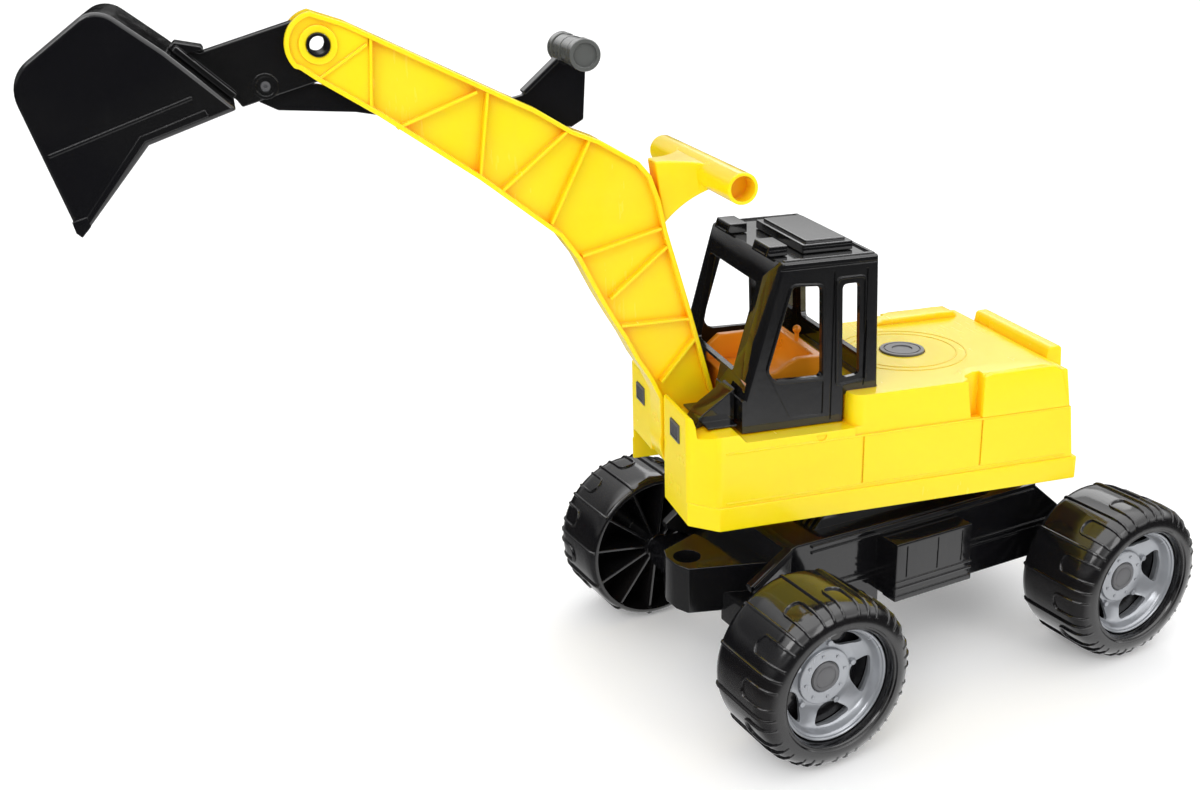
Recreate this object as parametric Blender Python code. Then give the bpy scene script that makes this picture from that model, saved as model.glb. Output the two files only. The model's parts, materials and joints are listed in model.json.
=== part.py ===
"""Toy excavator on four wheels: chassis, slewing house with cab, boom, stick with bucket and its lever.

Lengths in this file are millimetres and angles are degrees; mesh_of() turns them into Blender's metres.
World axes: +Z up, ground at Z = 0, the chassis points along -Y and its left side is +X.
On the house and the boom, outlines are (forward, up) pairs, and forward is the local -Y of their empties.
"""

import math

import bmesh
import bpy
from mathutils import Vector

MM = 0.001
GAP = 0.3
RUN = 0.1

# Middle of the rest box over the ground, so that the origin lies under it
BOX_MIDDLE = (-4.86, -149.5)

# Wheels and axles
WHEEL_RADIUS = 52.0
WHEEL_WIDTH = 52.5
WHEEL_OUTER_X = 127.4
WHEELBASE = 231.4
LUG_COUNT = 20
LUG_HEIGHT = 1.6
RIM_SEAT_RADIUS = 35.0
AXLE_RADIUS = 3.0

# Chassis
CHASSIS_HALF_WIDTH = 52.0
TOOLBOX_HALF_WIDTH = 72.0
CHASSIS_TOP = 102.0
CHASSIS_FLOOR = 45.5
CHASSIS_WALL = 2.5
TOW_TOP = 84.0
TOW_HOLE_RADIUS = 8.5
TOW_HOLE_Y = -138.5

# Slewing joint
SWIVEL_Y = 22.1
SLEW_AT_REST = 11.8
TURRET_RADIUS = 36.0
SWIVEL_PIN_RADIUS = 9.0

# House
HOUSE_HALF_WIDTH = 69.2
HOUSE_FLOOR = 115.6
HOUSE_WALL = 3.0
SKIRT_TOP = 130.5
SHOULDER_TOP = 169.4
DECK_TOP = 188.7
HOUSE_FRONT = 164.3
SLOT_HALF_WIDTH = 12.8
SLOT_BACK = 111.0
CAB_HALF_WIDTH = 56.2
CAB_WALL = 3.0
LAMP = (26.0, 41.6, 162.8, 174.2)
APRON_HOOD = [(157.6, 172.4), (156.3, 175.4), (152.0, 181.0), (147.4, 184.5), (141.0, 188.8), (136.0, 192.6)]
APRON_HOOD += [(131.8, 195.4), (131.8, 175.1), (137.4, 175.1), (149.0, 174.9)]

# Boom, stick, lever and bucket, as (forward, up) places in the house at rest
BOOM_PIVOT = (141.4, 151.3)
STICK_PIVOT = (346.8, 397.2)
LEVER_PIVOT = (375.2, 377.6)
HANDLE_CENTRE = (136.2, 316.2)
GRIP_CENTRE = (209.6, 385.8)
BOOM_HALF_WIDTH = 10.4
CHANNEL_HALF_WIDTH = 6.6
STICK_HALF_WIDTH = 6.0
BUCKET_HALF_WIDTH = 37.4
BUCKET_WALL = 2.2
PIN_RADIUS = 4.0
LINK_PIN_RADIUS = 2.6


# ---------------------------------------------------------------- scene and materials


def clear_scene():
    for thing in list(bpy.data.objects):
        bpy.data.objects.remove(thing, do_unlink=True)


def material(name, colour, roughness, metallic=0.0):
    made = bpy.data.materials.new(name)
    made.use_nodes = True
    shader = made.node_tree.nodes["Principled BSDF"]
    shader.inputs["Base Color"].default_value = (*colour, 1.0)
    shader.inputs["Roughness"].default_value = roughness
    shader.inputs["Metallic"].default_value = metallic
    return made


def empty(name, place, parent=None, turn=0.0):
    """An empty at a place given in millimetres, turned about Z, that other pieces hang on."""
    made = bpy.data.objects.new(name, None)
    bpy.context.scene.collection.objects.link(made)
    made.location = [value * MM for value in place]
    made.rotation_euler.z = math.radians(turn)
    made.parent = parent
    return made


def mesh_of(name, bm):
    made = bpy.data.meshes.new(name)
    bmesh.ops.scale(bm, vec=(MM, MM, MM), verts=bm.verts)
    bm.to_mesh(made)
    bm.free()
    made.shade_smooth()
    made.set_sharp_from_angle(angle=math.radians(32.0))
    return made


def piece(name, shape, skin, parent):
    """A named piece from a bmesh in millimetres, or from a mesh that it shares with its copies."""
    mesh = shape if isinstance(shape, bpy.types.Mesh) else mesh_of(name, shape)
    made = bpy.data.objects.new(name, mesh)
    bpy.context.scene.collection.objects.link(made)
    made.parent = parent
    if not mesh.materials:
        mesh.materials.append(skin)
    return made


# ---------------------------------------------------------------- shapes, in millimetres


def outward(bm):
    bmesh.ops.recalc_face_normals(bm, faces=bm.faces)
    return bm


def prism(outline, axis, low, high, origin=(0.0, 0.0)):
    """A closed prism. Axis x takes (forward, up) pairs, y takes (x, z) pairs and z takes (x, y) pairs."""
    bm = bmesh.new()
    rings = []
    for depth in (low, high):
        ring = []
        for first, second in outline:
            a, b = first - origin[0], second - origin[1]
            places = {"x": (depth, -a, b), "y": (a, depth, b), "z": (a, b, depth)}
            ring.append(bm.verts.new(places[axis]))
        rings.append(ring)
    bm.faces.new(rings[0])
    bm.faces.new(rings[1])
    for i in range(len(outline)):
        j = (i + 1) % len(outline)
        bm.faces.new((rings[0][i], rings[0][j], rings[1][j], rings[1][i]))
    return outward(bm)


def box(x, y, z):
    return prism([(x[0], y[0]), (x[1], y[0]), (x[1], y[1]), (x[0], y[1])], "z", z[0], z[1])


def disc_outline(radius, steps, centre=(0.0, 0.0), start=0.0, turn=360.0):
    """Points on a circle or, with a shorter turn, on an arc that includes both of its ends."""
    count = steps if turn == 360.0 else steps + 1
    angles = [math.radians(start + turn * i / steps) for i in range(count)]
    return [(centre[0] + radius * math.cos(a), centre[1] + radius * math.sin(a)) for a in angles]


def rod(radius, axis, low, high, centre=(0.0, 0.0), steps=32, origin=(0.0, 0.0)):
    return prism(disc_outline(radius, steps, centre), axis, low, high, origin)


def turned(profile, steps):
    """A closed (radius, height) profile turned about the X axis."""
    bm = bmesh.new()
    first = [bm.verts.new((height, radius, 0.0)) for radius, height in profile]
    edges = [bm.edges.new((first[i], first[(i + 1) % len(first)])) for i in range(len(first))]
    bmesh.ops.spin(bm, geom=first + edges, axis=(1, 0, 0), steps=steps, angle=math.tau, use_merge=True)
    bmesh.ops.remove_doubles(bm, verts=bm.verts, dist=1e-4)
    bmesh.ops.dissolve_degenerate(bm, edges=bm.edges, dist=1e-5)
    return outward(bm)


def hull(points):
    bm = bmesh.new()
    verts = [bm.verts.new(point) for point in points]
    bmesh.ops.convex_hull(bm, input=verts)
    bmesh.ops.dissolve_limit(bm, angle_limit=0.01, verts=bm.verts, edges=bm.edges)
    return outward(bm)


def inset(outline, distance):
    """The outline moved inwards by a distance, with its corners kept sharp."""
    area = sum(a[0] * b[1] - b[0] * a[1] for a, b in zip(outline, outline[1:] + outline[:1]))
    side = 1.0 if area > 0 else -1.0
    made = []
    for before, here, after in zip(outline[-1:] + outline[:-1], outline, outline[1:] + outline[:1]):
        d1 = (Vector(here) - Vector(before)).normalized()
        d2 = (Vector(after) - Vector(here)).normalized()
        n1, n2 = side * Vector((-d1.y, d1.x)), side * Vector((-d2.y, d2.x))
        along = (n1 + n2) / (1.0 + n1.dot(n2))
        made.append(tuple(Vector(here) + distance * along))
    return made


def strip(start, end, width):
    """The outline of a straight bar between two places."""
    along = (Vector(end) - Vector(start)).normalized()
    side = Vector((-along.y, along.x)) * width / 2.0
    a, b = Vector(start), Vector(end)
    return [tuple(a - side), tuple(b - side), tuple(b + side), tuple(a + side)]


# ---------------------------------------------------------------- Booleans


def combined(target, tool, operation):
    """The target cut by, joined to or cropped by the tool with the exact solver, as a new shape."""
    held = []
    for bm in (target, tool):
        mesh = bpy.data.meshes.new("held")
        bm.to_mesh(mesh)
        bm.free()
        thing = bpy.data.objects.new("held", mesh)
        bpy.context.scene.collection.objects.link(thing)
        held.append(thing)
    modifier = held[0].modifiers.new("combine", "BOOLEAN")
    modifier.operation = operation
    modifier.object = held[1]
    modifier.solver = "EXACT"
    graph = bpy.context.evaluated_depsgraph_get()
    made = bmesh.new()
    made.from_object(held[0], graph)
    for thing in held:
        bpy.data.objects.remove(thing, do_unlink=True)
    bmesh.ops.dissolve_limit(made, angle_limit=0.002, verts=made.verts, edges=made.edges)
    return made


def add(target, *tools):
    for tool in tools:
        target = combined(target, tool, "UNION")
    return target


def cut(target, *tools):
    for tool in tools:
        target = combined(target, tool, "DIFFERENCE")
    return target


def crop(target, *tools):
    for tool in tools:
        target = combined(target, tool, "INTERSECT")
    return target


# ---------------------------------------------------------------- chassis


def chassis_blocks(shrink):
    """The blocks of the chassis; shrunk by the wall, they are the hollow under it."""
    low = CHASSIS_FLOOR - (10.0 if shrink else 0.0)
    top = CHASSIS_TOP
    body = [(126.0, low), (126.0, 83.0), (97.0, top - 1.0), (92.0, top), (-93.0, top - 2.5), (-118.0, 78.0)]
    body += [(-128.0, 66.0), (-128.0, low)]
    bridge = [(-70.0, low), (-70.0, 64.0), (-60.0, 72.0), (60.0, 72.0), (70.0, 64.0), (70.0, low)]
    nose = [(32.0, -84.0), (32.0, -100.0), (14.8, -146.6), (6.0, -150.0)]
    nose += [(-x, y) for x, y in reversed(nose)]
    width = CHASSIS_HALF_WIDTH - shrink
    toolbox = TOOLBOX_HALF_WIDTH - shrink
    shrunk = (lambda outline: inset(outline, shrink)) if shrink else (lambda outline: outline)
    low_half, high_half = 32.0 + shrink, 46.0 + shrink
    channel = [(-low_half, TOW_TOP - shrink), (low_half, TOW_TOP - shrink)]
    channel += [(high_half, 104.0), (-high_half, 104.0)]
    return [
        cut(prism(shrunk(body), "x", -width, width), prism(channel, "y", -140.0, -99.8 + shrink)),
        prism(shrunk(bridge), "y", -126.0 + shrink, -106.0 - shrink),
        prism(shrunk(bridge), "y", 100.0 + shrink, 128.0 - shrink),
        prism(shrunk(nose), "z", 40.0 if shrink else 53.5, TOW_TOP - shrink),
        box((-toolbox, toolbox), (-34.8 + shrink, 26.0 - shrink), (low if shrink else 56.7, 95.2 - shrink)),
    ]


def chassis_shape():
    frame = add(*chassis_blocks(0.0))
    frame = add(frame, rod(TURRET_RADIUS, "z", 95.0, HOUSE_FLOOR - 3.6, (0.0, SWIVEL_Y), 48))
    frame = cut(frame, *chassis_blocks(CHASSIS_WALL))
    frame = add(frame, rod(SWIVEL_PIN_RADIUS + 4.0, "z", 60.0, 111.0, (0.0, SWIVEL_Y)))
    frame = cut(frame, rod(SWIVEL_PIN_RADIUS + RUN, "z", 50.0, 130.0, (0.0, SWIVEL_Y)))
    for axle_y in (-WHEELBASE / 2.0, WHEELBASE / 2.0):
        frame = add(frame, rod(AXLE_RADIUS + 3.5, "x", -69.0, 69.0, (-axle_y, WHEEL_RADIUS), 24))
        frame = cut(frame, rod(AXLE_RADIUS + RUN, "x", -90.0, 90.0, (-axle_y, WHEEL_RADIUS), 24))
    frame = add(frame, rod(TOW_HOLE_RADIUS + 2.2, "z", 55.0, TOW_TOP - 1.0, (0.0, TOW_HOLE_Y), 28))
    return cut(frame, rod(TOW_HOLE_RADIUS, "z", 30.0, 95.0, (0.0, TOW_HOLE_Y)))


def make_chassis(root, skins):
    piece("chassis_frame", chassis_shape(), skins["black"], root)
    reach = WHEEL_OUTER_X - 19.0
    for end, axle_y in (("front", -WHEELBASE / 2.0), ("rear", WHEELBASE / 2.0)):
        axle = rod(AXLE_RADIUS, "x", -reach, reach, (-axle_y, WHEEL_RADIUS), 24)
        piece(f"{end}_axle", axle, skins["steel"], root)
    piece("swivel_pin", rod(SWIVEL_PIN_RADIUS, "z", 62.0, 165.0, (0.0, SWIVEL_Y)), skins["steel"], root)


# ---------------------------------------------------------------- wheels


def rib_blade(angle, low, high):
    blade = box((low, high), (6.0, WHEEL_RADIUS - LUG_HEIGHT - 2.7), (-0.9, 0.9))
    turn = math.radians(angle)
    for vert in blade.verts:
        y, z = vert.co.y, vert.co.z
        vert.co.y = y * math.cos(turn) - z * math.sin(turn)
        vert.co.z = y * math.sin(turn) + z * math.cos(turn)
    return blade


def tyre_shape():
    """Hollow wheel body: a lugged tread, a seat for the rim outside, and ribs and a hub tube open inside."""
    outline = []
    for i in range(LUG_COUNT):
        for share, height in ((0.0, 0.0), (0.34, 0.0), (0.42, -LUG_HEIGHT), (0.92, -LUG_HEIGHT)):
            angle = math.tau * (i + share) / LUG_COUNT
            reach = WHEEL_RADIUS + height
            outline.append((reach * math.cos(angle), reach * math.sin(angle)))
    half = WHEEL_WIDTH / 2.0
    shoulder = [(0.0, half), (44.5, half), (52.6, half - 7.0), (52.6, -half + 5.0), (48.9, -half)]
    shoulder.append((0.0, -half))
    tyre = crop(prism(outline, "x", -half, half), turned(shoulder, 40))
    tyre = cut(tyre, rod(RIM_SEAT_RADIUS, "x", half - 21.0, half + 1.0, steps=36))
    tyre = cut(tyre, rod(WHEEL_RADIUS - LUG_HEIGHT - 3.2, "x", -half - 1.0, half - 24.0, steps=36))
    tyre = add(tyre, rod(9.0, "x", -half, half - 22.0, steps=24))
    for i in range(12):
        tyre = add(tyre, rib_blade(30.0 * i, -half + 2.5, half - 23.0))
    return cut(tyre, rod(AXLE_RADIUS + RUN, "x", -half - 2.0, half + 2.0, steps=24))


def rim_shape():
    """Dished rim with five windows, an outer lip and a raised hub."""
    half = WHEEL_WIDTH / 2.0
    lip = RIM_SEAT_RADIUS - GAP
    dish = [
        (AXLE_RADIUS + GAP, half - 20.6),
        (AXLE_RADIUS + GAP, half - 18.9),
        (9.6, half - 18.9),
        (9.6, half - 15.8),
        (17.2, half - 15.8),
        (18.4, half - 17.8),
        (29.5, half - 13.0),
        (31.4, half - 6.4),
        (32.6, half - 5.6),
        (lip, half - 6.2),
        (lip, half - 20.6),
        (31.5, half - 20.6),
        (29.5, half - 16.0),
        (18.4, half - 20.6),
    ]
    rim = turned(dish, 30)
    for i in range(5):
        inner = disc_outline(19.6, 3, start=72.0 * i + 26.0, turn=20.0)
        outer = disc_outline(28.4, 5, start=72.0 * i + 56.0, turn=-40.0)
        rim = cut(rim, prism(inner + outer, "x", 0.0, half + 5.0))
    return rim


def hub_cap_shape():
    half = WHEEL_WIDTH / 2.0
    top, foot = half - 15.0, half - 18.6
    return turned([(0.0, top), (7.6, top), (9.2, top - 0.6), (9.2, foot), (0.0, foot)], 32)


def make_wheels(root, skins):
    meshes = {}
    for shape, made, skin in (
        ("tyre", tyre_shape(), "black"),
        ("rim", rim_shape(), "silver"),
        ("hub_cap", hub_cap_shape(), "grey"),
    ):
        meshes[shape] = mesh_of(shape, made)
        meshes[shape].materials.append(skins[skin])
    centre_x = WHEEL_OUTER_X - WHEEL_WIDTH / 2.0
    for end, axle_y in (("front", -WHEELBASE / 2.0), ("rear", WHEELBASE / 2.0)):
        for side, sign in (("left", 1.0), ("right", -1.0)):
            place = (sign * centre_x, axle_y, WHEEL_RADIUS)
            hub = empty(f"wheel_axis_{end}_{side}", place, root, 0.0 if sign > 0 else 180.0)
            for shape, mesh in meshes.items():
                piece(f"{shape}_{end}_{side}", mesh, None, hub)


# ---------------------------------------------------------------- house


def house_block(wall):
    """The house without its slot; shrunk by the wall it is the hollow, open to below."""
    low = HOUSE_FLOOR - (5.0 if wall else 0.0)
    side = [(HOUSE_FRONT, low), (HOUSE_FRONT, 184.0), (163.2, 184.0), (160.0, 178.5), (159.4, 171.5)]
    side += [(149.0, 174.5), (137.3, 174.8), (132.9, SHOULDER_TOP), (66.0, SHOULDER_TOP), (66.0, DECK_TOP)]
    side += [(-76.0, DECK_TOP), (-80.0, 163.9), (-84.0, SKIRT_TOP), (-87.0, SKIRT_TOP - 1.5), (-87.0, low)]
    inner = [(161.3, low), (161.3, 166.4), (63.0, 166.4), (63.0, 185.7), (-73.4, 185.7), (-83.0, 130.0)]
    inner += [(-84.0, low)]
    half = HOUSE_HALF_WIDTH - wall
    plan = [(half, 100.0), (half, -149.4), (half - 14.0, -HOUSE_FRONT + wall)]
    plan += [(-x, y) for x, y in reversed(plan)]
    block = prism(inner if wall else side, "x", -80.0, 80.0)
    return crop(block, prism(plan, "z", 90.0, 220.0))


def house_shape():
    house = house_block(0.0)
    for sign in (1.0, -1.0):
        x = sorted((sign * 46.0, sign * (HOUSE_HALF_WIDTH - 0.6)))
        house = add(house, prism([(-17.0, 165.0), (-17.0, 192.5), (-71.5, 193.6), (-79.0, 165.0)], "x", *x))
        notch = sorted((sign * (HOUSE_HALF_WIDTH - 2.0), sign * 80.0))
        house = cut(house, box(notch, (9.0, 17.0), (165.5, 200.0)))
        band = sorted((sign * (HOUSE_HALF_WIDTH - 1.2), sign * 80.0))
        house = cut(house, box(band, (-200.0, 100.0), (SKIRT_TOP, 220.0)))
    bar = [(-72.0, 160.0), (-77.5, 195.0), (-87.0, 195.0), (-90.5, 160.0)]
    house = add(house, prism(bar, "x", -43.0, 43.0))
    house = cut(house, house_block(HOUSE_WALL))
    slot_wall = SLOT_HALF_WIDTH + HOUSE_WALL
    house = add(house, box((-slot_wall, slot_wall), (-163.0, -SLOT_BACK + HOUSE_WALL), (HOUSE_FLOOR, 168.0)))
    house = add(house, box((-57.0, -54.0), (-163.0, -130.0), (HOUSE_FLOOR, 168.0)))
    house = cut(house, box((-SLOT_HALF_WIDTH, SLOT_HALF_WIDTH), (-180.0, -SLOT_BACK), (100.0, 200.0)))
    house = cut(house, box((-54.0, -SLOT_HALF_WIDTH + 1.0), (-180.0, -134.0), (100.0, 138.0)))
    house = add(house, rod(SWIVEL_PIN_RADIUS + 4.0, "z", HOUSE_FLOOR, 187.0))
    house = cut(house, rod(SWIVEL_PIN_RADIUS + RUN, "z", 100.0, 168.0))
    house = cut(house, rod(14.4, "z", 187.2, 200.0, steps=40))
    house = add(house, rod(PIN_RADIUS + 3.0, "x", -46.0, -SLOT_HALF_WIDTH - 0.5, BOOM_PIVOT, 24))
    house = add(house, rod(PIN_RADIUS + 3.0, "x", SLOT_HALF_WIDTH + 0.5, 46.0, BOOM_PIVOT, 24))
    house = cut(house, rod(PIN_RADIUS + RUN, "x", -44.0, 44.0, BOOM_PIVOT, 24))
    for sign in (1.0, -1.0):
        x = sorted((sign * (LAMP[0] - GAP), sign * (LAMP[1] + GAP)))
        house = cut(house, box(x, (-170.0, -162.0), (LAMP[2] - GAP, LAMP[3] + GAP)))
    return house


def cab_shape():
    side = [(131.0, 170.0), (131.2, 191.4), (110.2, 270.4), (48.4, 268.6), (45.3, 189.2), (67.2, 189.2)]
    side.append((67.2, 169.8))
    inner = [(127.8, 160.0), (127.9, 192.0), (107.6, 267.2), (51.4, 265.6), (48.8, 192.5), (48.8, 150.0)]
    width = CAB_HALF_WIDTH
    cab = prism(side, "x", -width, width)
    cab = cut(cab, prism(inner, "x", -width + CAB_WALL, width - CAB_WALL))
    door = [(101.1, 255.4), (83.3, 254.1), (81.6, 199.7), (111.0, 200.3), (115.0, 206.4)]
    rear = [(70.3, 253.9), (59.7, 254.0), (57.9, 198.1), (68.7, 196.9)]
    cab = cut(cab, prism(door, "x", -width - 5.0, width + 5.0), prism(rear, "x", -width - 5.0, width + 5.0))
    cab = cut(cab, box((-36.0, 36.0), (-140.0, -80.0), (201.0, 256.0)))
    cab = cut(cab, box((-width + 10.0, width - 10.0), (-60.0, -40.0), (202.0, 256.0)))
    return cut(cab, box((-SLOT_HALF_WIDTH, SLOT_HALF_WIDTH), (-140.0, -112.0), (160.0, 200.0)))


def seat_shape():
    """Low tub with a raised back, a full far side and a lower near side."""
    tub = [(122.0, 169.7), (122.0, 188.0), (84.0, 188.0), (77.0, 192.5), (75.0, 203.7), (69.0, 203.7)]
    tub.append((69.0, 169.7))
    far = [(122.0, 186.0), (122.4, 196.2), (113.4, 203.7), (70.0, 203.7), (70.0, 186.0)]
    near = [(121.0, 186.0), (113.0, 194.0), (70.0, 194.0), (70.0, 186.0)]
    seat = prism(tub, "x", -33.0, 33.0)
    return add(seat, prism(far, "x", -33.0, -28.0), prism(near, "x", 28.0, 33.0))


def make_house(slew, skins):
    yellow, black = skins["yellow"], skins["black"]
    piece("house_shell", house_shape(), yellow, slew)
    plate = cut(rod(46.0, "z", 112.3, 115.3, steps=48), rod(SWIVEL_PIN_RADIUS + RUN, "z", 100.0, 120.0))
    piece("turntable_plate", plate, black, slew)
    piece("swivel_cap", rod(14.0, "z", 187.5, 190.0, steps=40), skins["grey"], slew)
    for side, sign in (("left", 1.0), ("right", -1.0)):
        x = sorted((sign * LAMP[0], sign * LAMP[1]))
        piece(f"lamp_{side}", box(x, (-165.4, -162.3), (LAMP[2], LAMP[3])), skins["grey"], slew)
        x = sorted((sign * 13.1, sign * 55.8))
        plate = box(x, (-152.0, -134.0), (175.1, 176.4))
        x = sorted((sign * 29.5, sign * 46.6))
        piece(f"apron_{side}", add(plate, prism(APRON_HOOD, "x", *x)), black, slew)
        x = sorted((sign * 20.0, sign * 42.0))
        piece(f"roof_lamp_{side}", box(x, (-110.0, -98.5), (270.7, 276.0)), black, slew)
    piece("boom_pivot_pin", rod(PIN_RADIUS, "x", -43.5, 43.5, BOOM_PIVOT, 24), skins["steel"], slew)
    piece("cab_shell", cab_shape(), black, slew)
    hatch = [(89.2, 270.1), (89.2, 276.0), (58.0, 276.0), (58.0, 269.2)]
    piece("roof_hatch", prism(hatch, "x", -29.0, 42.0), black, slew)
    piece("cab_seat", seat_shape(), yellow, slew)


# ---------------------------------------------------------------- boom


BOOM_TOP = [(350.3, 414.3), (332.3, 407.8), (251.1, 365.9), (234.8, 357.9), (214.0, 344.6), (198.7, 338.0)]
BOOM_TOP += [(175.8, 324.0), (168.8, 315.5), (163.6, 301.3), (159.6, 282.4), (146.5, 237.1), (131.4, 181.7)]
BOOM_LOW = [(165.9, 179.7), (172.1, 193.2), (180.5, 206.9), (187.0, 220.1), (194.6, 233.2), (201.6, 246.1)]
BOOM_LOW += [(213.8, 271.1), (223.8, 285.4), (267.4, 321.3), (318.7, 358.8), (347.9, 378.1), (357.3, 385.3)]
BOOM_RIBS = (
    ((319.8, 399.0), (322.9, 359.0)),
    ((347.9, 380.1), (321.9, 396.2)),
    ((309.9, 352.0), (265.7, 368.2)),
    ((260.0, 368.0), (266.8, 321.4)),
    ((255.8, 313.0), (216.8, 343.7)),
    ((204.4, 338.0), (227.8, 292.8)),
    ((210.6, 272.5), (162.8, 284.4)),
    ((194.5, 245.4), (159.6, 273.5)),
    ((188.8, 228.3), (144.6, 228.3)),
    ((164.3, 190.3), (141.4, 216.8)),
)


def boom_outline():
    tip = disc_outline(17.2, 10, STICK_PIVOT, -40.0, 120.0)
    foot = disc_outline(25.0, 12, BOOM_PIVOT, 160.0, 215.0)
    return tip + BOOM_TOP[1:] + foot + BOOM_LOW


def boom_shape():
    width, channel, at = BOOM_HALF_WIDTH, CHANNEL_HALF_WIDTH, BOOM_PIVOT
    outline = boom_outline()
    inner = inset(outline, 2.4)
    boom = prism(outline, "x", -width, width, at)
    for low, high in ((-width - 1.0, -width + 1.4), (width - 1.4, width + 1.0)):
        boom = cut(boom, prism(inner, "x", low, high, at))
        depth = sorted((math.copysign(width - 2.0, low + high), math.copysign(width - 0.3, low + high)))
        for start, end in BOOM_RIBS:
            boom = add(boom, prism(strip(start, end, 1.8), "x", *depth, at))
        for centre, radius in ((STICK_PIVOT, 17.0), (BOOM_PIVOT, 14.0)):
            boom = add(boom, rod(radius, "x", *depth, centre, 32, at))
    hollow = [(400.0, 440.0), (318.0, 440.0), (318.0, 396.0), (264.0, 368.5), (264.0, 386.0), (184.0, 340.0)]
    hollow += [(178.0, 314.0), (171.0, 296.0), (154.0, 236.0), (148.0, 214.0), (200.0, 190.0)]
    hollow += [(240.0, 270.0), (400.0, 360.0)]
    boom = cut(boom, prism(hollow, "x", -channel, channel, at))
    boom = add(boom, rod(3.0, "x", -channel - 1.0, channel + 1.0, (262.0, 323.0), 16, at))
    boom = add(boom, rod(3.0, "x", -channel - 1.0, channel + 1.0, (212.0, 276.0), 16, at))
    boom = add(boom, rod(14.0, "x", -12.3, 12.3, BOOM_PIVOT, 32, at))
    boom = cut(boom, rod(PIN_RADIUS + RUN, "x", -20.0, 20.0, BOOM_PIVOT, 24, at))
    return cut(boom, rod(PIN_RADIUS + 3.2, "x", -20.0, 20.0, STICK_PIVOT, 28, at))


def elbow_handle_shape():
    """Cross tube with open ends on a tapered neck that stands on the elbow of the boom."""
    at = BOOM_PIVOT
    neck = []
    for half, ends in ((8.0, ((165.0, 322.0), (161.0, 287.0))), (27.0, ((141.0, 322.8), (139.2, 308.8)))):
        neck += [(x, at[0] - forward, up - at[1]) for x in (-half, half) for forward, up in ends]
    handle = add(rod(8.8, "x", -68.0, 68.0, HANDLE_CENTRE, 28, at), hull(neck))
    for low, high in ((-69.0, -44.0), (44.0, 69.0)):
        handle = cut(handle, rod(6.8, "x", low, high, HANDLE_CENTRE, 28, at))
    return cut(handle, prism(inset(boom_outline(), -GAP), "x", -20.0, 20.0, at))


def make_boom(slew, skins):
    lift = empty("boom_axis", (0.0, -BOOM_PIVOT[0], BOOM_PIVOT[1]), slew)
    piece("boom", boom_shape(), skins["yellow"], lift)
    piece("elbow_handle", elbow_handle_shape(), skins["yellow"], lift)
    tube = rod(PIN_RADIUS + 3.0, "x", -11.2, 11.2, STICK_PIVOT, 28, BOOM_PIVOT)
    tube = cut(tube, rod(PIN_RADIUS + 0.4, "x", -20.0, 20.0, STICK_PIVOT, 24, BOOM_PIVOT))
    piece("tip_tube", tube, skins["black"], lift)
    return lift


# ---------------------------------------------------------------- stick, lever and bucket


STICK_OUTLINE = [(356.1, 409.9), (405.4, 396.3), (417.5, 400.5), (419.7, 399.4), (390.2, 371.4)]
STICK_OUTLINE += [(387.8, 367.8), (380.1, 369.9), (347.8, 378.5)]


def stick_shape():
    width, at = STICK_HALF_WIDTH, STICK_PIVOT
    stick = prism(STICK_OUTLINE, "x", -width, width, at)
    stick = add(stick, rod(14.6, "x", -width, width, STICK_PIVOT, 36, at))
    stick = add(stick, prism(strip((391.0, 374.4), (417.6, 399.6), 3.4), "x", -16.0, 16.0, at))
    stick = cut(stick, rod(PIN_RADIUS + 3.0 + RUN, "x", -20.0, 20.0, STICK_PIVOT, 28, at))
    lever_slot = [(388.0, 340.0), (388.0, 386.0), (378.0, 391.5), (362.0, 391.0), (347.0, 388.3)]
    lever_slot += [(320.0, 386.0), (320.0, 340.0)]
    stick = cut(stick, prism(lever_slot, "x", -2.6, 2.6, at))
    return cut(stick, rod(LINK_PIN_RADIUS + RUN, "x", -20.0, 20.0, LEVER_PIVOT, 20, at))


def lever_shape():
    """One rigid plate from the pin in the stick, through the boom, to the tee grip above it."""
    at = LEVER_PIVOT
    bar = [(379.0, 369.4), (381.4, 377.6), (377.0, 382.4), (318.0, 370.4), (254.0, 361.2), (240.0, 364.0)]
    bar += [(218.6, 381.9), (203.6, 374.7), (205.6, 348.8), (212.6, 344.9), (238.1, 351.0), (262.0, 348.0)]
    bar += [(318.6, 358.6)]
    lever = prism(bar, "x", -2.2, 2.2, at)
    lever = add(lever, rod(8.6, "x", -25.5, 25.5, GRIP_CENTRE, 28, at))
    for low, high in ((-26.5, -18.0), (18.0, 26.5)):
        lever = cut(lever, rod(6.6, "x", low, high, GRIP_CENTRE, 28, at))
    return cut(lever, rod(LINK_PIN_RADIUS + RUN, "x", -20.0, 20.0, LEVER_PIVOT, 20, at))


def bucket_shape():
    width, wall, at = BUCKET_HALF_WIDTH, BUCKET_WALL, STICK_PIVOT
    outlines = []
    for shrink in (0.0, wall):
        top = disc_outline(13.5 - shrink, 6, (450.5, 406.4), 128.9, -74.5)
        back = disc_outline(19.0 - shrink, 7, (472.6, 383.8), 54.4, -70.0)
        outlines.append(top + back)
    outer = [(390.6, 370.8), (421.5, 400.3)] + outlines[0]
    outer += [(474.0, 318.1), (471.7, 313.9), (467.2, 319.0), (434.6, 356.3)]
    inner = [(393.4, 369.6), (422.6, 397.8)] + outlines[1]
    inner += [(471.9, 318.7), (470.5, 306.0), (425.0, 345.0), (393.0, 360.0)]
    bucket = prism(outer, "x", -width, width, at)
    return cut(bucket, prism(inner, "x", -width + wall, width - wall, at))


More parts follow.
